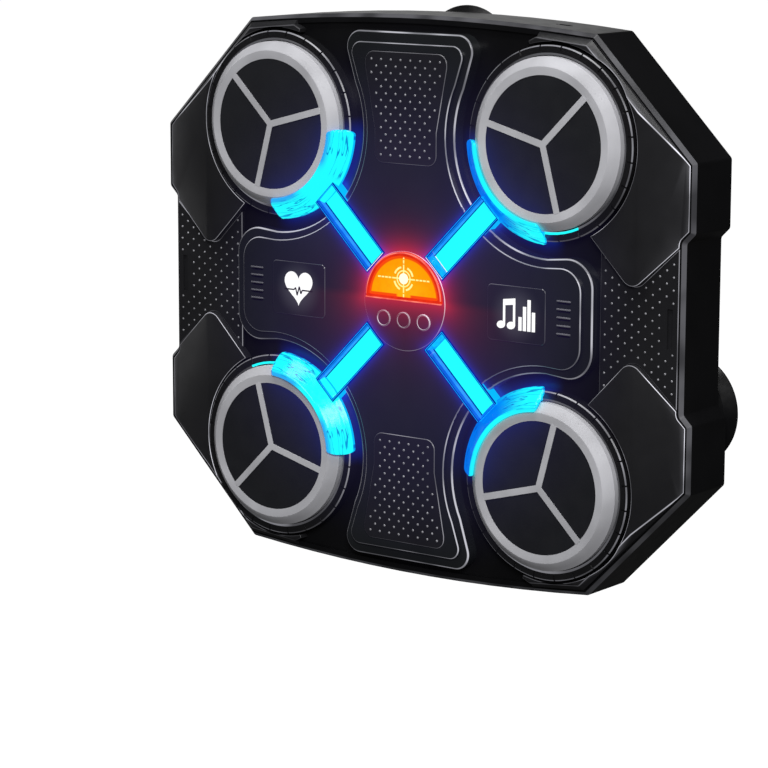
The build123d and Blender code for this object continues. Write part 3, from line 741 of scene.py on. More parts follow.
@dataclass(frozen=True)
class BareMetal(Finish):
    """Plated metal with fine turning marks."""

    tint: Colour
    roughness: float = 0.3

    def paint(self, graph: Graph) -> None:
        """Build the tree.

        Args:
            graph: The material's shader tree.
        """
        marks = graph.noise(0.5, 3.0)
        dull = tuple(channel * 0.7 for channel in self.tint)
        graph.shade(
            Base_Color=graph.mix(graph.noise(1.6, 2.0), self.tint, dull),
            Metallic=1.0,
            Roughness=graph.fade(marks, 0.3, 0.7, self.roughness - 0.08, self.roughness + 0.12),
        )
        graph.bump(marks, 0.01)


@dataclass(frozen=True)
class CircuitLacquer(Finish):
    """Green solder mask over copper tracks."""

    mask: Colour = (0.012, 0.10, 0.045)
    track: Colour = (0.03, 0.20, 0.09)
    pitch: float = 2.4

    def paint(self, graph: Graph) -> None:
        """Build the tree.

        Args:
            graph: The material's shader tree.
        """
        bricks = graph.node("ShaderNodeTexBrick", Scale=1 / self.pitch)
        x, _, z = graph.axes
        graph.put(bricks.inputs["Vector"], graph.combine(x, z))
        tracks = bricks.outputs["Fac"]
        graph.shade(Base_Color=graph.mix(tracks, self.mask, self.track), Roughness=0.32)
        graph.bump(tracks, 0.03)


class Finishes:
    """Every material of the machine, by the material slot that it dresses."""

    def __init__(self, target: Point, guide_radius: float, icons: tuple[Point, ...]) -> None:
        """Build the materials.

        Args:
            target: The upper right target's centre.
            guide_radius: The crescents' inner radius.
            icons: The icon tiles' centres.
        """
        spill = GlowSpill(target)
        panel = (0.0100, 0.0112, 0.0120)
        self.materials = {made.name: made for made in (
            finish.build() for finish in (
                MouldedPlastic("black_case", (0.0042, 0.0042, 0.0048), 0.30, gloss=0.25, spill=spill,
                               glint=0.11),
                MouldedPlastic("black_case_rear", (0.008, 0.008, 0.009), 0.42, 0.9, 0.02),
                MouldedPlastic("black_panel", panel, 0.22, spill=spill, glint=0.55),
                MouldedPlastic("black_armour", (0.0125, 0.0125, 0.0140), 0.38, 0.45, 0.002, 0.4,
                               spill=spill, glint=1.3, tilt=(0.72, 0.975), glint_from=104.0),
                MouldedPlastic("black_collar", (0.0085, 0.0085, 0.0095), 0.24, spill=spill, glint=0.30,
                               tilt=(0.55, 0.94)),
                MouldedPlastic("black_grip", (0.0110, 0.0110, 0.0125), 0.30, 0.35, spill=spill, glint=0.28),
                MouldedPlastic("black_tile", panel, 0.20, spill=spill, icons=icons, glint=0.12),
                MouldedPlastic("black_button", panel, 0.18, spill=spill, glint=1.1),
                # Pale grey studs: a painted highlight on the small domes.
                MouldedPlastic("stud_tips", (0.15, 0.15, 0.16), 0.22, 0.3, 0.002, spill=spill, glint=0.20),
                # Pale grey vent bars: a painted highlight along the slots.
                MouldedPlastic("vent_edges", (0.12, 0.12, 0.13), 0.25, 0.3, 0.002, spill=spill),
                MouldedPlastic("dark_recess", (0.004, 0.004, 0.005), 0.6, spill=spill),
                MouldedPlastic("grey_ring", (0.43, 0.43, 0.455), 0.5, 0.5, 0.006, 0.25),
                MouldedPlastic("battery_wrap", (0.02, 0.05, 0.22), 0.3, 4.0, 0.05),
                MouldedPlastic("speaker_cone", (0.02, 0.02, 0.02), 0.7, 0.6, 0.05),
                MouldedPlastic("sensor_film", (0.50, 0.34, 0.09), 0.35, 0.8, 0.01),
                RubberSkin("pad_rubber", (0.0075, 0.0080, 0.0105), spill=spill),
                RubberSkin("foam", (0.02, 0.02, 0.022), 0.85, 0.6, 0.1),
                RubberSkin("cup_rubber", (0.004, 0.004, 0.0045), 0.30, 2.0, 0.015),
                LitAcrylic("cyan_guide", (0.0145, 0.97, 1.0), (0.0, 0.16, 0.80), (0.002, 0.48, 0.97),
                           (0.0, 0.05, 0.50), (0.03, 0.24, 0.82), target, guide_radius, streaks=0.8),
                Glow("guide_floor", (0.0145, 1.0, 1.0), (0.0145, 0.93, 1.0)),
                Glow("guide_lip", (0.01, 0.40, 1.0), (0.004, 0.28, 0.95), 5.0, 0.15),
                Glow("guide_line", (0.0, 0.006, 0.20), (0.0, 0.012, 0.30), 4.0, 0.15),
                Glow("guide_shade", (0.002, 0.035, 0.50), (0.004, 0.07, 0.62), 6.0, 0.15),
                Glow("guide_wall", (0.010, 0.16, 0.80), (0.030, 0.24, 0.88), 6.0, 0.15),
                # Whitish glow on the upper guides' inner ends: a painted highlight.
                Glow("guide_end", (0.75, 0.80, 1.0), (0.95, 0.85, 1.0), 2.0, 0.1),
                Glow("guide_tip", (0.004, 0.40, 0.85), (0.002, 0.26, 0.80), 3.0, 0.1),
                LensAcrylic("amber_lens", (0.0, 1.4), 21.4, 0.4),
                Glow("red_diffuser", (0.78, 0.030, 0.006), (0.60, 0.018, 0.006), 5.0),
                # Pink glow of the bead on the lens rim: a painted highlight.
                Glow("rim_edge", (1.0, 0.24, 0.17), (0.8, 0.10, 0.08), 7.0, 0.15),
                Glow("reticle_lit", (1.0, 0.90, 0.36), (1.0, 0.80, 0.22), 1.5),
                Glow("reticle_core", (1.0, 0.98, 0.72), (1.0, 0.98, 0.72), 1.5),
                Glow("icon_lit", (1.0, 1.0, 1.0), (0.93, 0.93, 0.95), 3.0),
                BareMetal("port_steel", (0.62, 0.62, 0.64)),
                BareMetal("screw_steel", (0.34, 0.34, 0.36), 0.35),
                CircuitLacquer("circuit_board"),
            )
        )}

    def __getitem__(self, name: str) -> bpy.types.Material:
        """The material of that name."""
        return self.materials[name]


# ---- Mesh helpers ----
def finish_piece(name: str, mesh: bpy.types.Mesh, body: str, slot: str, *replaced: str) -> bpy.types.Object:
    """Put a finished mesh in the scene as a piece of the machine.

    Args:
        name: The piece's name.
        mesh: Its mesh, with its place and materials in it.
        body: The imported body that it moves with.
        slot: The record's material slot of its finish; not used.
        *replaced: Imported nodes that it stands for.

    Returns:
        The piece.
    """
    piece = bpy.data.objects.new(name, mesh)
    bpy.context.scene.collection.objects.link(piece)
    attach(piece, body)
    if replaced:
        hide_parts(*replaced)
    log.info("%s: %d faces on %s", name, len(mesh.polygons), body)
    return piece


def baked(piece: bpy.types.Object) -> bpy.types.Mesh:
    """Turn an object with modifiers into a plain mesh and remove the object.

    Args:
        piece: The working object.

    Returns:
        The mesh that its modifiers give.
    """
    graph = bpy.context.evaluated_depsgraph_get()
    mesh = bpy.data.meshes.new_from_object(piece.evaluated_get(graph))
    bpy.data.objects.remove(piece)
    return mesh


class Solid:
    """A closed mesh under construction, in millimetres across the front and heights from the wall."""

    def __init__(self, name: str, *materials: bpy.types.Material) -> None:
        """Start a mesh.

        Args:
            name: The mesh's name.
            *materials: Its materials, in slot order.
        """
        self.name = name
        self.materials = materials
        self.bm = bmesh.new()

    def ring(self, points: Iterable[tuple[float, float, float]]) -> list[bmesh.types.BMVert]:
        """A closed row of vertices from (x, z, height) points."""
        return [self.bm.verts.new((x * MM, -h * MM, z * MM)) for x, z, h in points]

    def loop(self, points: Iterable[Point], height: float) -> list[bmesh.types.BMVert]:
        """A closed row of vertices at one height."""
        return self.ring((x, z, height) for x, z in points)

    def skin(self, first: Sequence, second: Sequence, material: int = 0) -> None:
        """Join two rows of vertices with a band of faces.

        Args:
            first: The first row.
            second: The second row, as long as the first.
            material: The faces' material index.
        """
        for index in range(len(first)):
            after = (index + 1) % len(first)
            face = self.bm.faces.new((first[index], first[after], second[after], second[index]))
            face.material_index = material

    def close(self, rows: Sequence[Sequence]) -> None:
        """Join rows of vertices in order and the last to the first."""
        for first, second in zip(rows, [*rows[1:], rows[0]]):
            self.skin(first, second)

    def cap(self, row: Sequence, material: int = 0) -> None:
        """Close a row of vertices with one face."""
        self.bm.faces.new(row).material_index = material

    def stack(self, rows: Sequence[Sequence], material: int = 0) -> None:
        """Join rows from the first to the last and cap both ends.

        Args:
            rows: Rows of vertices of one length.
            material: The faces' material index.
        """
        for first, second in zip(rows, rows[1:]):
            self.skin(first, second, material)
        self.cap(rows[0], material)
        self.cap(rows[-1], material)

    def plate(
        self, outline: Sequence[Point], low: float, high: float, material: int = 0, edge: float = 0.0
    ) -> None:
        """A flat plate, with a broken front edge if edge is more than nothing.

        Args:
            outline: Its corners in order.
            low: The height of its back.
            high: The height of its front.
            material: Its material index.
            edge: How far its front edge is drawn in.
        """
        rows = [self.loop(outline, low), self.loop(outline, high - edge)]
        if edge:
            middle = Vector((sum(x for x, _ in outline), sum(z for _, z in outline))) / len(outline)
            drawn = [Vector(point) + (middle - Vector(point)).normalized() * edge for point in outline]
            rows.append(self.loop(drawn, high))
        self.stack(rows, material)

    def mesh(self, smooth_angle: float | None = None) -> bpy.types.Mesh:
        """Close the work.

        Args:
            smooth_angle: Edges flatter than this many degrees are shaded smooth.

        Returns:
            The mesh, facing outwards.
        """
        bmesh.ops.recalc_face_normals(self.bm, faces=self.bm.faces)
        if smooth_angle is not None:
            for face in self.bm.faces:
                face.smooth = True
            for edge in self.bm.edges:
                edge.smooth = edge.calc_face_angle(pi) < radians(smooth_angle)
        made = bpy.data.meshes.new(self.name)
        self.bm.to_mesh(made)
        self.bm.free()
        for material in self.materials:
            made.materials.append(material)
        return made


def arc(centre: Point, radius: float, start: float, end: float, step: float = 6.0) -> list[Point]:
    """Points along an arc.

    Args:
        centre: Its centre.
        radius: Its radius.
        start: Its first angle in degrees.
        end: Its last angle in degrees.
        step: Most degrees between two points.

    Returns:
        The points, both ends included.
    """
    count = max(1, ceil(abs(end - start) / step))
    angles = [radians(start + (end - start) * index / count) for index in range(count + 1)]
    return [(centre[0] + radius * cos(angle), centre[1] + radius * sin(angle)) for angle in angles]


def turns(count: int) -> list[float]:
    """Even angles round a circle, in radians."""
    return [2 * pi * index / count for index in range(count)]


def band(centre: Point, inner: float, outer: float, start: float, end: float) -> list[Point]:
    """Outline of a stretch of a flat ring."""
    return arc(centre, outer, start, end) + arc(centre, inner, end, start)


def disc(centre: Point, radius: float, step: float = 12.0) -> list[Point]:
    """Outline of a disc."""
    return arc(centre, radius, 0.0, 360.0, step)[:-1]


def bar(start: Point, end: Point, width: float) -> list[Point]:
    """Outline of a straight bar.

    Args:
        start: The middle of its first end.
        end: The middle of its last end.
        width: Its width.

    Returns:
        Its corners in order.
    """
    run = Vector(end) - Vector(start)
    side = Vector((-run.y, run.x)).normalized() * width / 2
    first, last = Vector(start), Vector(end)
    return [tuple(point) for point in (first - side, last - side, last + side, first + side)]


# ---- Geometry Nodes ----
class GeometryTree(NodeBuilder):
    """A Geometry Nodes tree with named inputs, ending in Realize Instances and Set Material."""

    def __init__(self, name: str) -> None:
        """Start a tree.

        Args:
            name: The tree's name.
        """
        super().__init__(bpy.data.node_groups.new(name, "GeometryNodeTree"))
        for way in ("INPUT", "OUTPUT"):
            self.tree.interface.new_socket("Geometry", in_out=way, socket_type="NodeSocketGeometry")
        self.identifiers: dict[str, str] = {}
        self.inputs = self.tree.nodes.new("NodeGroupInput")
        self.output = self.tree.nodes.new("NodeGroupOutput")

    def input(self, name: str, kind: str = "Float") -> Socket:
        """Add a named input.

        Args:
            name: Its name.
            kind: Float, Int, Vector or Material.

        Returns:
            Its socket inside the tree.
        """
        made = self.tree.interface.new_socket(name, in_out="INPUT", socket_type=f"NodeSocket{kind}")
        self.identifiers[name] = made.identifier
        return self.inputs.outputs[name]

    def logic(self, operation: str, *values: Socket) -> Socket:
        """Add a node for true and false.

        Args:
            operation: Blender's name for it.
            *values: Sockets.

        Returns:
            The result.
        """
        made = self.node("FunctionNodeBooleanMath", {"operation": operation})
        for target, value in zip(made.inputs, values):
            self.put(target, value)
        return made.outputs[0]

    def finish(self, geometry: Socket, material: Socket) -> None:
        """Realize the instances, shade them smooth and give them their material.

        Args:
            geometry: The instances.
            material: The material.
        """
        real = self.node("GeometryNodeRealizeInstances", Geometry=geometry).outputs[0]
        smooth = self.node("GeometryNodeSetShadeSmooth", Geometry=real).outputs[0]
        dressed = self.node("GeometryNodeSetMaterial", Geometry=smooth, Material=material).outputs[0]
        self.put(self.output.inputs[0], dressed)

    def run(self, name: str, mesh: bpy.types.Mesh, **values: object) -> bpy.types.Mesh:
        """Run the tree on a mesh and return the result as a plain mesh.

        Args:
            name: The name of the result.
            mesh: The mesh that the tree starts from.
            **values: Its inputs by name, where _ stands for a space.

        Returns:
            The new mesh.
        """
        work = bpy.data.objects.new(name, mesh)
        bpy.context.scene.collection.objects.link(work)
        modifier = work.modifiers.new(name, "NODES")
        modifier.node_group = self.tree
        for key, value in values.items():
            modifier[self.identifiers[key.replace("_", " ")]] = value
        made = baked(work)
        made.name = name
        return made


def stud_tree() -> GeometryTree:
    """Tree that sets low domes in staggered rows wherever a panel's front face is flat and clear.

    Returns:
        The tree. Its geometry is the panel.
    """
    tree = GeometryTree("studs_on_panel")
    centre = tree.input("Centre", "Vector")
    columns, rows = tree.input("Columns", "Int"), tree.input("Rows", "Int")
    across, up = tree.input("Pitch Across"), tree.input("Pitch Up")
    radius, rise = tree.input("Stud Radius"), tree.input("Stud Rise")
    margin = tree.input("Margin")
    material = tree.input("Finish", "Material")
    probe = 0.004
    grid = tree.node(
        "GeometryNodeMeshGrid",
        Size_X=tree.times(across, tree.minus(columns, 1.0)),
        Size_Y=tree.times(up, tree.minus(rows, 1.0)),
        Vertices_X=columns,
        Vertices_Y=rows,
    )
    points = tree.node("GeometryNodeMeshToPoints", Mesh=grid.outputs["Mesh"]).outputs[0]
    flat_x, flat_y, _ = tree.split(tree.node("GeometryNodeInputPosition").outputs[0])
    odd = tree.size(tree.math("MODULO", tree.math("ROUND", tree.over(flat_y, up)), 2.0))
    shifted = tree.plus(flat_x, tree.times(tree.times(odd, across), 0.5))
    placed = tree.vector("ADD", tree.combine(shifted, 0.0, flat_y), centre)
    points = tree.node("GeometryNodeSetPosition", Geometry=points, Position=placed).outputs[0]
    hits = []
    for step_x, step_z in ((0, 0), (1, 0), (-1, 0), (0, 1), (0, -1)):
        offset = tree.combine(
            tree.times(margin, float(step_x)), -probe / 2, tree.times(margin, float(step_z))
        )
        start = tree.vector("ADD", tree.node("GeometryNodeInputPosition").outputs[0], offset)
        ray = tree.node(
            "GeometryNodeRaycast", Source_Position=start, Ray_Direction=(0.0, 1.0, 0.0),
            Ray_Length=probe / 2 + 0.0001,
        )
        tree.put(ray.inputs["Target Geometry"], tree.inputs.outputs[0])
        hits.append(ray.outputs["Is Hit"])
    kept = reduce(lambda both, hit: tree.logic("AND", both, hit), hits)
    bare = tree.logic("NOT", kept)
    clear = tree.node("GeometryNodeDeleteGeometry", Geometry=points, Selection=bare).outputs[0]
    dome = tree.node("GeometryNodeMeshUVSphere", Segments=8, Rings=5, Radius=radius).outputs["Mesh"]
    squat = tree.combine(1.0, tree.over(rise, radius), 1.0)
    domes = tree.node("GeometryNodeInstanceOnPoints", Points=clear, Instance=dome, Scale=squat).outputs[0]
    tree.finish(domes, material)
    return tree


def row_tree() -> GeometryTree:
    """Tree that repeats its geometry a number of times along a line.

    Returns:
        The tree. Its geometry is the piece that repeats.
    """
    tree = GeometryTree("row_of_pieces")
    count = tree.input("Count", "Int")
    first, step = tree.input("First", "Vector"), tree.input("Step", "Vector")
    material = tree.input("Finish", "Material")
    line = tree.node(
        "GeometryNodeMeshLine", {"mode": "OFFSET"}, Count=count, Start_Location=first, Offset=step
    )
    points = tree.node("GeometryNodeMeshToPoints", Mesh=line.outputs[0]).outputs[0]
    copies = tree.node("GeometryNodeInstanceOnPoints", Points=points, Instance=tree.inputs.outputs[0])
    tree.finish(copies.outputs[0], material)
    return tree


def smoothing_tree() -> bpy.types.NodeTree:
    """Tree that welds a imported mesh's loose triangles and shades its gentle edges smooth.

    Returns:
        The tree.
    """
    tree = GeometryTree("smooth_gentle_edges")
    loose = tree.inputs.outputs[0]
    welded = tree.node("GeometryNodeMergeByDistance", Geometry=loose, Distance=WELD).outputs[0]
    angle = tree.node("GeometryNodeInputMeshEdgeAngle").outputs["Unsigned Angle"]
    gentle = tree.node("FunctionNodeCompare", {"operation": "LESS_THAN"})
    tree.put(gentle.inputs[0], angle)
    gentle.inputs[1].default_value = radians(GENTLE)
    faces = tree.node("GeometryNodeSetShadeSmooth", Geometry=welded).outputs[0]
    edges = tree.node("GeometryNodeSetShadeSmooth", {"domain": "EDGE"}, Geometry=faces)
    tree.put(edges.inputs["Shade Smooth"], gentle.outputs[0])
    tree.put(tree.output.inputs[0], edges.outputs[0])
    return tree.tree


# ---- Sub-assemblies ----
@dataclass
class LightGuide:
    """One corner's lit guide: a trough from the lens out to a crescent over the target's ring."""

    corner: Corner
    target: Point
    finishes: Finishes
    start: float = 27.4
    half_width: float = 7.25
    floor_half: float = 6.1
    bottom_h: float = 48.0
    panel_h: float = 55.85
    lip_h: float = 56.4
    floor_h: float = 50.8
    inner_radius: float = 39.7
    ring_radius: float = 44.6
    collar_radius: float = 49.9
    outer_radius: float = 51.6
    half_angle: float = 44.5
    end_round: float = 2.6
    leak_angle: float = 24.0

    @property
    def arm_end(self) -> float:
        """How far from the middle the trough ends, under the crescent."""
        return hypot(*self.target) - self.collar_radius + 1.0

    def rectangle(self, solid: Solid, grow: float, half: float, height: float) -> list:
        """Four vertices round the trough at one height.

        Args:
            solid: The mesh that they are added to.
            grow: How far they lie outside the trough's inner end.
            half: Their half width.
            height: Their height.

        Returns:
            The vertices, with the inner end's between the last and the first.
        """
        side_x, side_z = self.corner.value
        along = Vector((side_x, side_z)) * sqrt(0.5)
        across = Vector((-along.y, along.x))
        first, last = self.start - grow, self.arm_end
        corners = ((first, -half), (last, -half), (last, half), (first, half))
        return solid.loop([tuple(along * run + across * off) for run, off in corners], height)

    def build_arm(self) -> None:
        """Build the trough, which stands for the whole packed guide."""
        names = ("cyan_guide", "guide_lip", "guide_line", "guide_shade", "guide_wall", "guide_floor",
                 "guide_end", "guide_tip")
        solid = Solid(f"guide_trough_{self.corner.label}", *(self.finishes[name] for name in names))
        body, lip, line, shade, wall, lit, end, tip = range(len(names))
        half = self.half_width
        # The upper guides' inner ends take a whitish glow, a painted highlight; the lower ones take the
        # lip's blue.
        gleam = end if self.corner.value[1] > 0 else lip
        rows = [
            (0.0, half, self.bottom_h, body, body),
            (0.0, half, self.panel_h, line, line),
            (0.95, half + 0.95, self.panel_h, line, line),
            (0.90, half + 0.90, self.lip_h - 0.12, line, line),
            (0.42, half + 0.42, self.lip_h, lip, gleam),
            (0.02, half + 0.02, self.lip_h, line, line),
            (-0.38, half - 0.38, self.lip_h - 0.1, shade, tip),
            (-0.60, half - 0.60, self.lip_h - 2.4, wall, tip),
            (-0.95, self.floor_half + 0.30, self.floor_h + 0.9, line, tip),
            (-1.25, self.floor_half + 0.05, self.floor_h + 0.1, line, gleam),
            (-1.55, self.floor_half, self.floor_h, lit, lit),
        ]
        loops = [self.rectangle(solid, *row[:3]) for row in rows]
        for (first, second), row in zip(zip(loops, loops[1:]), rows):
            solid.skin(first, second, row[3])
            solid.bm.faces.ensure_lookup_table()
            solid.bm.faces[-1].material_index = row[4]
        solid.cap(loops[0], body)
        solid.cap(loops[-1], lit)
        finish_piece(solid.name, solid.mesh(), HOUSING, "cyan_guide", f"light_guide_{self.corner.label}")

    def section(self) -> list[Point]:
        """The crescent's cross-section, as (radius, height) points."""
        crest = [(0.7, 59.9), (0.0, 60.6), (0.3, 61.2), (1.3, 61.35), (2.5, 61.0), (3.1, 60.1), (4.5, 59.3),
                 (5.1, 58.1), (6.5, 57.4), (7.1, 56.2), (8.6, 55.4), (9.2, 54.3), (10.7, 53.3)]
        skirt = [(self.outer_radius, 52.2), (self.outer_radius, 50.6), (self.collar_radius, 50.6),
                 (self.collar_radius, 53.1)]
        foot = [(self.ring_radius, 53.1), (self.ring_radius, 56.0)]
        return foot + [(self.inner_radius + off, height) for off, height in crest] + skirt

    def build_crescent(self) -> None:
        """Build the stepped crescent with its rounded ends."""
        solid = Solid(f"guide_crescent_{self.corner.label}", self.finishes["cyan_guide"])
        section = self.section()
        middle_r = sum(r for r, _ in section) / len(section)
        middle_h = sum(h for _, h in section) / len(section)
        round_angle = self.end_round / middle_r * 180 / pi
        shares = (0.06, 0.22, 0.45, 0.72)
        span = 2 * self.half_angle
        steps = 30
        ends = [(round_angle * share, sqrt(1 - (1 - share) ** 2)) for share in shares]
        run = [round_angle + (span - 2 * round_angle) * index / steps for index in range(steps + 1)]
        stations = ends + [(angle, 1.0) for angle in run]
        stations += [(span - angle, size) for angle, size in reversed(ends)]
        rows = []
        for angle, size in stations:
            turn = self.corner.inward + radians(angle - self.half_angle)
            rows.append(solid.ring([
                (self.target[0] + (middle_r + (r - middle_r) * size) * cos(turn),
                 self.target[1] + (middle_r + (r - middle_r) * size) * sin(turn),
                 middle_h + (h - middle_h) * size)
                for r, h in section
            ]))
        solid.stack(rows)
        finish_piece(solid.name, solid.mesh(38.0), HOUSING, "cyan_guide")

    def build_leak(self) -> None:
        """Build the thin glowing skirt that runs on from the crescent in the gap round the ring: painted
        light leaking from under the crescent.
        """
        solid = Solid(f"guide_skirt_{self.corner.label}", self.finishes["guide_floor"])
        first = self.corner.inward * 180 / pi + self.half_angle
        inner, outer = self.ring_radius + 0.1, self.ring_radius + 1.3
        outline = band(self.target, inner, outer, first - 3, first + self.leak_angle)
        solid.plate(outline, 52.4, 53.15)
        finish_piece(solid.name, solid.mesh(), HOUSING, "cyan_guide")

    def build(self) -> None:
        """Build the whole guide."""
        self.build_arm()
        self.build_crescent()
        if self.corner in (Corner.TOP_RIGHT, Corner.BOTTOM_LEFT):
            self.build_leak()


@dataclass
class LensCluster:
    """What is printed and set round the half-moon lens: its reticle, a glowing bead along the rim that is a
    painted highlight, and key rings.
    """

    finishes: Finishes
    lens: Span
    rim: Span
    centre: Point = (0.0, 12.0)
    core_radius: float = 2.9
    ring_radius: float = 4.2
    swirl_radius: float = 6.2
    swirl_angle: float = 52.0
    line_width: float = 0.75
    thickness: float = 0.12
    key_ring_radius: float = 3.95
    bead_radius: float = 0.42

    def build_reticle(self) -> None:
        """Build the aiming mark on the lens."""
        solid = Solid("lens_reticle", self.finishes["reticle_lit"], self.finishes["reticle_core"])
        low, high = self.lens.high - 0.05, self.lens.high + self.thickness
        solid.plate(disc(self.centre, self.core_radius, 10.0), low, high + 0.02, 1, 0.05)
        ring = (self.ring_radius - 0.35, self.ring_radius + 0.35)
        swirl = (self.swirl_radius - 0.55, self.swirl_radius + 0.45)
        halves = [(*ring, start, start + 180.0) for start in (0.0, 180.0)]
        swirls = [(*swirl, 15.0 + 90.0 * turn, 15.0 + 90.0 * turn + self.swirl_angle) for turn in range(4)]
        for stretch in halves + swirls:
            solid.plate(band(self.centre, *stretch), low, high)
        for reach_x, reach_z in ((17.3, 0.0), (-17.3, 0.0), (0.0, 11.2), (0.0, -9.8)):
            self.dashes(solid, (reach_x, reach_z), low, high - 0.02)
        finish_piece(solid.name, solid.mesh(), HOUSING, "amber_lens")

    def dashes(self, solid: Solid, reach: Point, low: float, high: float) -> None:
        """Add one arm of the cross as a solid run and then dashes.

        Args:
            solid: The mesh that it is added to.
            reach: The arm's end, from the centre.
            low: The height of its back.
            high: The height of its front.
        """
        length = hypot(*reach)
        along = Vector(reach) / length
        middle = Vector(self.centre)
        runs = [(self.core_radius - 0.2, self.ring_radius + 3.2)]
        first = runs[0][1] + 0.7
        while first < length:
            runs.append((first, min(first + 1.7, length)))
            first += 2.3
        for start, end in runs:
            outline = bar(tuple(middle + along * start), tuple(middle + along * end), self.line_width)
            solid.plate(outline, low, high)

    def build_rim_line(self) -> None:
        """Build the glowing bead along the red rim's outer edge, a painted highlight line."""
        solid = Solid("lens_bead", self.finishes["rim_edge"])
        centre = ((self.rim.left + self.rim.right) / 2, self.rim.top - self.rim.radius)
        radius = self.rim.radius - self.bead_radius
        curve = [((x, z), (x - centre[0], z - centre[1])) for x, z in arc(centre, 1.0, 2.0, 178.0, 4.0)]
        ends = [
            ((centre[0] + side * self.rim.radius, self.rim.base + 0.2), (0.0, -1.0)) for side in (-1, 1)
        ]
        for run, reach in ((curve, radius), (ends, 0.0)):
            rows = [solid.ring([
                ((centre[0] if reach else x) + out_x * (reach + self.bead_radius * cos(turn)),
                 (centre[1] if reach else z) + out_z * (reach + self.bead_radius * cos(turn)),
                 self.rim.high - 0.3 + self.bead_radius * sin(turn))
                for turn in turns(6)
            ]) for (x, z), (out_x, out_z) in run]
            solid.stack(rows)
        finish_piece(solid.name, solid.mesh(60.0), HOUSING, "red_diffuser")

    def build_key_ring(self, name: str) -> None:
        """Build the raised ring round one key.

        Args:
            name: The key's name."""
        key = Span.of(f"button_{name}")
        centre = key.centre
        solid = Solid(f"key_ring_{name}", self.finishes["black_button"])
        section = [(self.bead_radius * cos(turn), self.bead_radius * sin(turn)) for turn in turns(10)]
        solid.close([
            solid.ring([
                (centre[0] + (self.key_ring_radius + r) * cos(turn),
                 centre[1] + (self.key_ring_radius + r) * sin(turn),
                 key.high + h)
                for r, h in section
            ])
            for turn in turns(40)
        ])
        finish_piece(solid.name, solid.mesh(60.0), f"key_{name}", "black_button")

    def build(self) -> None:
        """Build the reticle, the painted highlight bead and the three key rings."""
        self.build_reticle()
        self.build_rim_line()
        for name in ("left", "middle", "right"):
            self.build_key_ring(name)


@dataclass
class IconTiles:
    """The two lit icons: a heart with a pulse line, and a note with level bars."""

    finishes: Finishes
    heart_width: float = 19.0
    heart_height: float = 18.4
    thickness: float = 0.18
    pulse_width: float = 0.8

    def build_heart(self) -> None:
        """Build the left tile's heart, with the pulse line over it."""
        tile = Span.of("icon_tile_left")
        middle_x, middle_z = tile.centre
        solid = Solid("icon_heart", self.finishes["icon_lit"], self.finishes["dark_recess"])
        outline = []
        for turn in turns(56):
            wide = 16 * sin(turn) ** 3
            tall = 13 * cos(turn) - 5 * cos(2 * turn) - 2 * cos(3 * turn) - cos(4 * turn)
            outline.append((middle_x + wide / 32 * self.heart_width,
                            middle_z + (tall + 2.5) / 29 * self.heart_height))
        high = tile.high + self.thickness
        solid.plate(outline, tile.high - 0.05, high)
        pulse = [(-9.6, -0.6), (-2.9, -0.6), (-1.9, 0.6), (-0.9, -3.6),
                 (0.6, 1.3), (1.7, -2.6), (2.6, -0.6), (9.6, -0.6)]
        for first, second in zip(pulse, pulse[1:]):
            start = (middle_x + first[0], middle_z + first[1])
            end = (middle_x + second[0], middle_z + second[1])
            solid.plate(bar(start, end, self.pulse_width), high - 0.05, high + 0.06, 1)
        finish_piece(solid.name, solid.mesh(), HOUSING, "black_tile")

    def build_music(self) -> None:
        """Build the right tile's note and level bars."""
        tile = Span.of("icon_tile_right")
        middle_x, middle_z = tile.centre
        solid = Solid("icon_music", self.finishes["icon_lit"])
        low, high = tile.high - 0.05, tile.high + self.thickness

        def put(points: Iterable[Point]) -> None:
            """Add one shape, moved on to the tile."""
            solid.plate([(middle_x + x, middle_z + z) for x, z in points], low, high)

        for note_x in (-9.2, -3.0):
            head = [(note_x + 2.5 * cos(turn) - 0.4 * sin(turn), -6.0 + 1.9 * sin(turn) + 0.5 * cos(turn))
                    for turn in turns(24)]
            put(head)
            put(bar((note_x + 1.9, -5.8), (note_x + 1.9, 6.6 + 0.12 * note_x), 1.3))
        put([(-7.95, 4.0), (-0.45, 5.0), (-0.45, 8.2), (-7.95, 7.2)])
        for index, height in enumerate((7.0, 12.5, 16.2, 10.0)):
            bar_x = 2.6 + index * 2.75
            put(bar((bar_x, -8.1), (bar_x, -8.1 + height), 1.95))
        finish_piece(solid.name, solid.mesh(), HOUSING, "black_tile")

    def build(self) -> None:
        """Build both icons."""
        self.build_heart()
        self.build_music()


@dataclass
class StuddedPanel:
    """A panel with staggered rows of small domes."""

    node: str
    finishes: Finishes
    tree: GeometryTree
    across: float
    up: float
    radius: float
    rise: float
    margin: float

    def build(self) -> None:
        """Build the studs on the panel's front face."""
        span = Span.of(self.node)
        columns = ceil((span.right - span.left) / self.across) + 2
        rows = 2 * ceil((span.top - span.base) / self.up / 2) + 1
        middle_x, middle_z = span.centre
        mesh = self.tree.run(
            f"studs_{self.node}",
            frame["nodes"][self.node].data,
            Centre=(middle_x * MM, -span.high * MM, middle_z * MM),
            Columns=columns,
            Rows=rows,
            Pitch_Across=self.across * MM,
            Pitch_Up=self.up * MM,
            Stud_Radius=self.radius * MM,
            Stud_Rise=self.rise * MM,
            Margin=self.margin * MM,
            Finish=self.finishes["stud_tips"],
        )
        finish_piece(mesh.name, mesh, HOUSING, "black_grip")


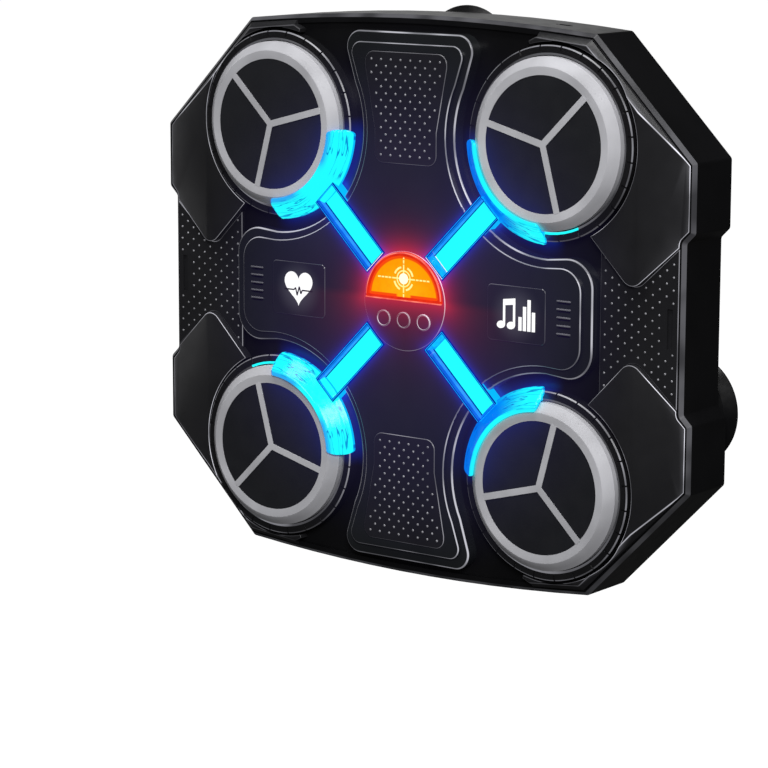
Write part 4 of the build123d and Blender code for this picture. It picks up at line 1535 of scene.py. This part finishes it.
@dataclass
class ArmourPlate:
    """One corner's armour, with its front edges rolled over."""

    corner: Corner
    finishes: Finishes
    roll: float = 0.6
    segments: int = 3

    def build(self) -> None:
        """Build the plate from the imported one, with rolled edges."""
        node = f"armour_{self.corner.label}"
        solid = Solid(f"armour_plate_{self.corner.label}", self.finishes["black_armour"])
        solid.bm.from_mesh(frame["nodes"][node].data)
        bmesh.ops.remove_doubles(solid.bm, verts=solid.bm.verts, dist=WELD)
        bmesh.ops.dissolve_limit(
            solid.bm, angle_limit=radians(1.0), verts=solid.bm.verts, edges=solid.bm.edges
        )
        for face in solid.bm.faces:
            face.material_index = 0
        back = max(vert.co.y for vert in solid.bm.verts)
        rolled = [
            edge for edge in solid.bm.edges
            if len(edge.link_faces) == 2 and edge.calc_face_angle(0.0) > radians(GENTLE)
            and min(vert.co.y for vert in edge.verts) < back - 1.5 * MM
            and not all(abs(face.normal.y) < 0.2 for face in edge.link_faces)
        ]
        bmesh.ops.bevel(
            solid.bm, geom=rolled, offset=self.roll * MM, offset_type="OFFSET", segments=self.segments,
            profile=0.5, affect="EDGES", clamp_overlap=False,
        )
        finish_piece(solid.name, solid.mesh(32.0), HOUSING, "black_armour", node)


@dataclass
class VentRibs:
    """The small raised bars beside the vent slots in one wing of the cross panel, pale grey as a painted
    highlight.
    """

    side: Side
    finishes: Finishes
    tree: GeometryTree
    panel: Span
    centre_x: float = 100.0
    length: float = 8.6
    width: float = 0.9
    rise: float = 0.45
    pitch: float = 4.2
    count: int = 5
    above: float = 0.95

    def build(self) -> None:
        """Build the row of bars."""
        solid = Solid("vent_rib_master", self.finishes["vent_edges"])
        half = self.length / 2 - self.width / 2
        outline = arc((half, 0.0), self.width / 2, -90.0, 90.0, 30.0)
        outline += arc((-half, 0.0), self.width / 2, 90.0, 270.0, 30.0)
        inner = [(x * 0.94, z * 0.45) for x, z in outline]
        rows = ((outline, 0.0), (outline, self.rise * 0.6), (inner, self.rise))
        solid.stack([solid.loop(*row) for row in rows])
        first_z = -(self.count - 1) / 2 * self.pitch + self.above
        name = f"vent_ribs_{self.side.label}"
        mesh = self.tree.run(
            name,
            solid.mesh(50.0),
            Count=self.count,
            First=(self.side.value * self.centre_x * MM, -(self.panel.high - 0.05) * MM, first_z * MM),
            Step=(0.0, 0.0, self.pitch * MM),
            Finish=self.finishes["vent_edges"],
        )
        finish_piece(name, mesh, HOUSING, "black_panel")


@dataclass
class ReboundFoam:
    """One target's foam ring, which flattens against the well's floor as the target is struck."""

    corner: Corner
    finishes: Finishes
    inner_radius: float = 18.0
    bulge: float = 0.5
    relief: float = 0.05

    def build(self) -> None:
        """Build the ring with bulged sides."""
        node = f"rebound_foam_{self.corner.label}"
        span = Span.of(node)
        low, high = span.low, span.high - self.relief
        rise = high - low
        outer = span.radius
        section = [(0.5, 0.0), (0.0, 0.15), (0.0, 0.5), (0.0, 0.85), (0.5, 1.0)]
        rows = [(outer - inset * self.bulge, low + share * rise) for inset, share in section]
        rows += [
            (self.inner_radius + inset * self.bulge, low + share * rise)
            for inset, share in reversed(section)
        ]
        solid = Solid(f"foam_ring_{self.corner.label}", self.finishes["foam"])
        solid.close([solid.loop(disc(span.centre, radius, 5.0), height) for radius, height in rows])
        piece = finish_piece(solid.name, solid.mesh(50.0), HOUSING, "foam", node)
        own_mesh(piece)


@dataclass
class Mouldings:
    """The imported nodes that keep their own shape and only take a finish."""

    finishes: Finishes

    def dress(self) -> None:
        """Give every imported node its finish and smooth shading."""
        tree = smoothing_tree()
        for row in frame["record"]["subparts"]:
            node = frame["nodes"][row["node"]]
            node.data.materials.clear()
            collar = row["node"].startswith("collar")
            node.data.materials.append(self.finishes["black_collar" if collar else row["material_slot"]])
            modifier = node.modifiers.new("smooth_gentle_edges", "NODES")
            modifier.node_group = tree
            log.info("%s: dressed in %s", row["node"], row["material_slot"])


# ---- Set ----
@dataclass
class Studio:
    """Pale floor, soft lights and the camera."""

    SOFT_BOXES: ClassVar[tuple[tuple, ...]] = (
        ("key_box", (1.5, -2.0, 1.2), (0.9, 0.9), 46.0),
        ("top_box", (0.1, -0.55, 1.5), (1.6, 0.35), 16.0),
        ("left_box", (-1.7, -0.55, 0.3), (0.25, 1.6), 2.0),
        ("rear_box", (-2.4, 2.0, 0.7), (2.4, 2.4), 8.0),
        ("back_box", (0.0, 2.4, 0.0), (0.3, 0.3), 16.0),
    )
    floor_z: float = -0.36
    floor_size: float = 60.0
    camera_place: tuple[float, float, float] = (0.9306, -1.3063, 0.2408)
    yaw: float = 37.05
    pitch: float = -10.36
    roll: float = 0.166
    lens: float = 140.94
    fill: float = 0.10
    mirrored_fill: float = 0.03

    def build_floor(self) -> None:
        """Lay the pale floor."""
        half = self.floor_size / 2
        mesh = bpy.data.meshes.new("studio_floor")
        corners = [(x * half, y * half, self.floor_z) for x, y in ((-1, -1), (1, -1), (1, 1), (-1, 1))]
        mesh.from_pydata(corners, [], [(0, 1, 2, 3)])
        graph = Graph("pale_floor")
        graph.shade(
            Base_Color=(0.10, 0.10, 0.10),
            Roughness=0.9,
            Specular_IOR_Level=0.1,
            Emission_Color=(1.0, 1.0, 1.0),
            Emission_Strength=1.0,
        )
        mesh.materials.append(graph.material)
        floor = bpy.data.objects.new("studio_floor", mesh)
        bpy.context.scene.collection.objects.link(floor)
        floor.visible_glossy = False
        floor.visible_diffuse = False

    def build_light(self, name: str, place: tuple, size: tuple, power: float) -> None:
        """Hang one soft box that faces the machine.

        Args:
            name: Its name.
            place: Where it hangs, in metres.
            size: Its width and height, in metres.
            power: Its power in watts.
        """
        data = bpy.data.lights.new(name, "AREA")
        data.shape = "RECTANGLE"
        data.size, data.size_y = size
        data.energy = power
        light = bpy.data.objects.new(name, data)
        light.location = place
        light.rotation_euler = (-Vector(place)).to_track_quat("-Z", "Y").to_euler()
        bpy.context.scene.collection.objects.link(light)

    def build_world(self) -> None:
        """Fill the world with white for the eye and a soft grey for the light."""
        world = bpy.data.worlds.new("studio_world")
        bpy.context.scene.world = world
        world.use_nodes = True
        tree = world.node_tree
        background = tree.nodes["Background"]
        ray = tree.nodes.new("ShaderNodeLightPath").outputs
        ambient, strength = (tree.nodes.new("ShaderNodeMapRange") for _ in range(2))
        tree.links.new(ray["Is Glossy Ray"], ambient.inputs["Value"])
        ambient.inputs["To Min"].default_value = self.fill
        ambient.inputs["To Max"].default_value = self.mirrored_fill
        tree.links.new(ray["Is Camera Ray"], strength.inputs["Value"])
        tree.links.new(ambient.outputs["Result"], strength.inputs["To Min"])
        strength.inputs["To Max"].default_value = 1.0
        background.inputs["Color"].default_value = (1.0, 1.0, 1.0, 1.0)
        tree.links.new(strength.outputs["Result"], background.inputs["Strength"])

    def build_camera(self) -> None:
        """Set the camera."""
        data = bpy.data.cameras.new("camera")
        data.lens = self.lens
        data.sensor_width = 36.0
        data.clip_end = 200.0
        camera = bpy.data.objects.new("camera", data)
        turn = (
            Matrix.Rotation(radians(self.yaw), 4, "Z")
            @ Matrix.Rotation(radians(90 + self.pitch), 4, "X")
            @ Matrix.Rotation(radians(self.roll), 4, "Z")
        )
        camera.matrix_world = Matrix.Translation(self.camera_place) @ turn
        bpy.context.scene.collection.objects.link(camera)
        bpy.context.scene.camera = camera

    def build(self) -> None:
        """Build the whole set."""
        self.build_world()
        self.build_floor()
        self.build_camera()
        for box in self.SOFT_BOXES:
            self.build_light(*box)
        bpy.context.scene.view_settings.view_transform = "Standard"


def main() -> None:
    """Build the machine's looks in order."""
    logging.basicConfig(level=logging.INFO, format="%(name)s: %(message)s")
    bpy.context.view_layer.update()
    ring = Span.of("target_ring_top_right")
    tiles = tuple(Span.of(f"icon_tile_{side.label}").centre for side in Side)
    finishes = Finishes(ring.centre, LightGuide.inner_radius, tiles)
    Mouldings(finishes).dress()
    for corner in Corner:
        ArmourPlate(corner, finishes).build()
        LightGuide(corner, Span.of(f"target_ring_{corner.label}").centre, finishes).build()
        ReboundFoam(corner, finishes).build()
    LensCluster(finishes, Span.of("target_lens"), Span.of("lens_rim")).build()
    IconTiles(finishes).build()
    studs = stud_tree()
    for end in ("top", "bottom"):
        StuddedPanel(f"stud_insert_{end}", finishes, studs, 6.3, 3.55, 0.68, 0.5, 2.3).build()
    ribs = row_tree()
    for side in Side:
        StuddedPanel(f"waist_panel_{side.label}", finishes, studs, 8.0, 3.25, 0.6, 0.45, 1.4).build()
        VentRibs(side, finishes, ribs, Span.of("cross_panel")).build()
    Studio().build()


if __name__ == "__main__":
    main()
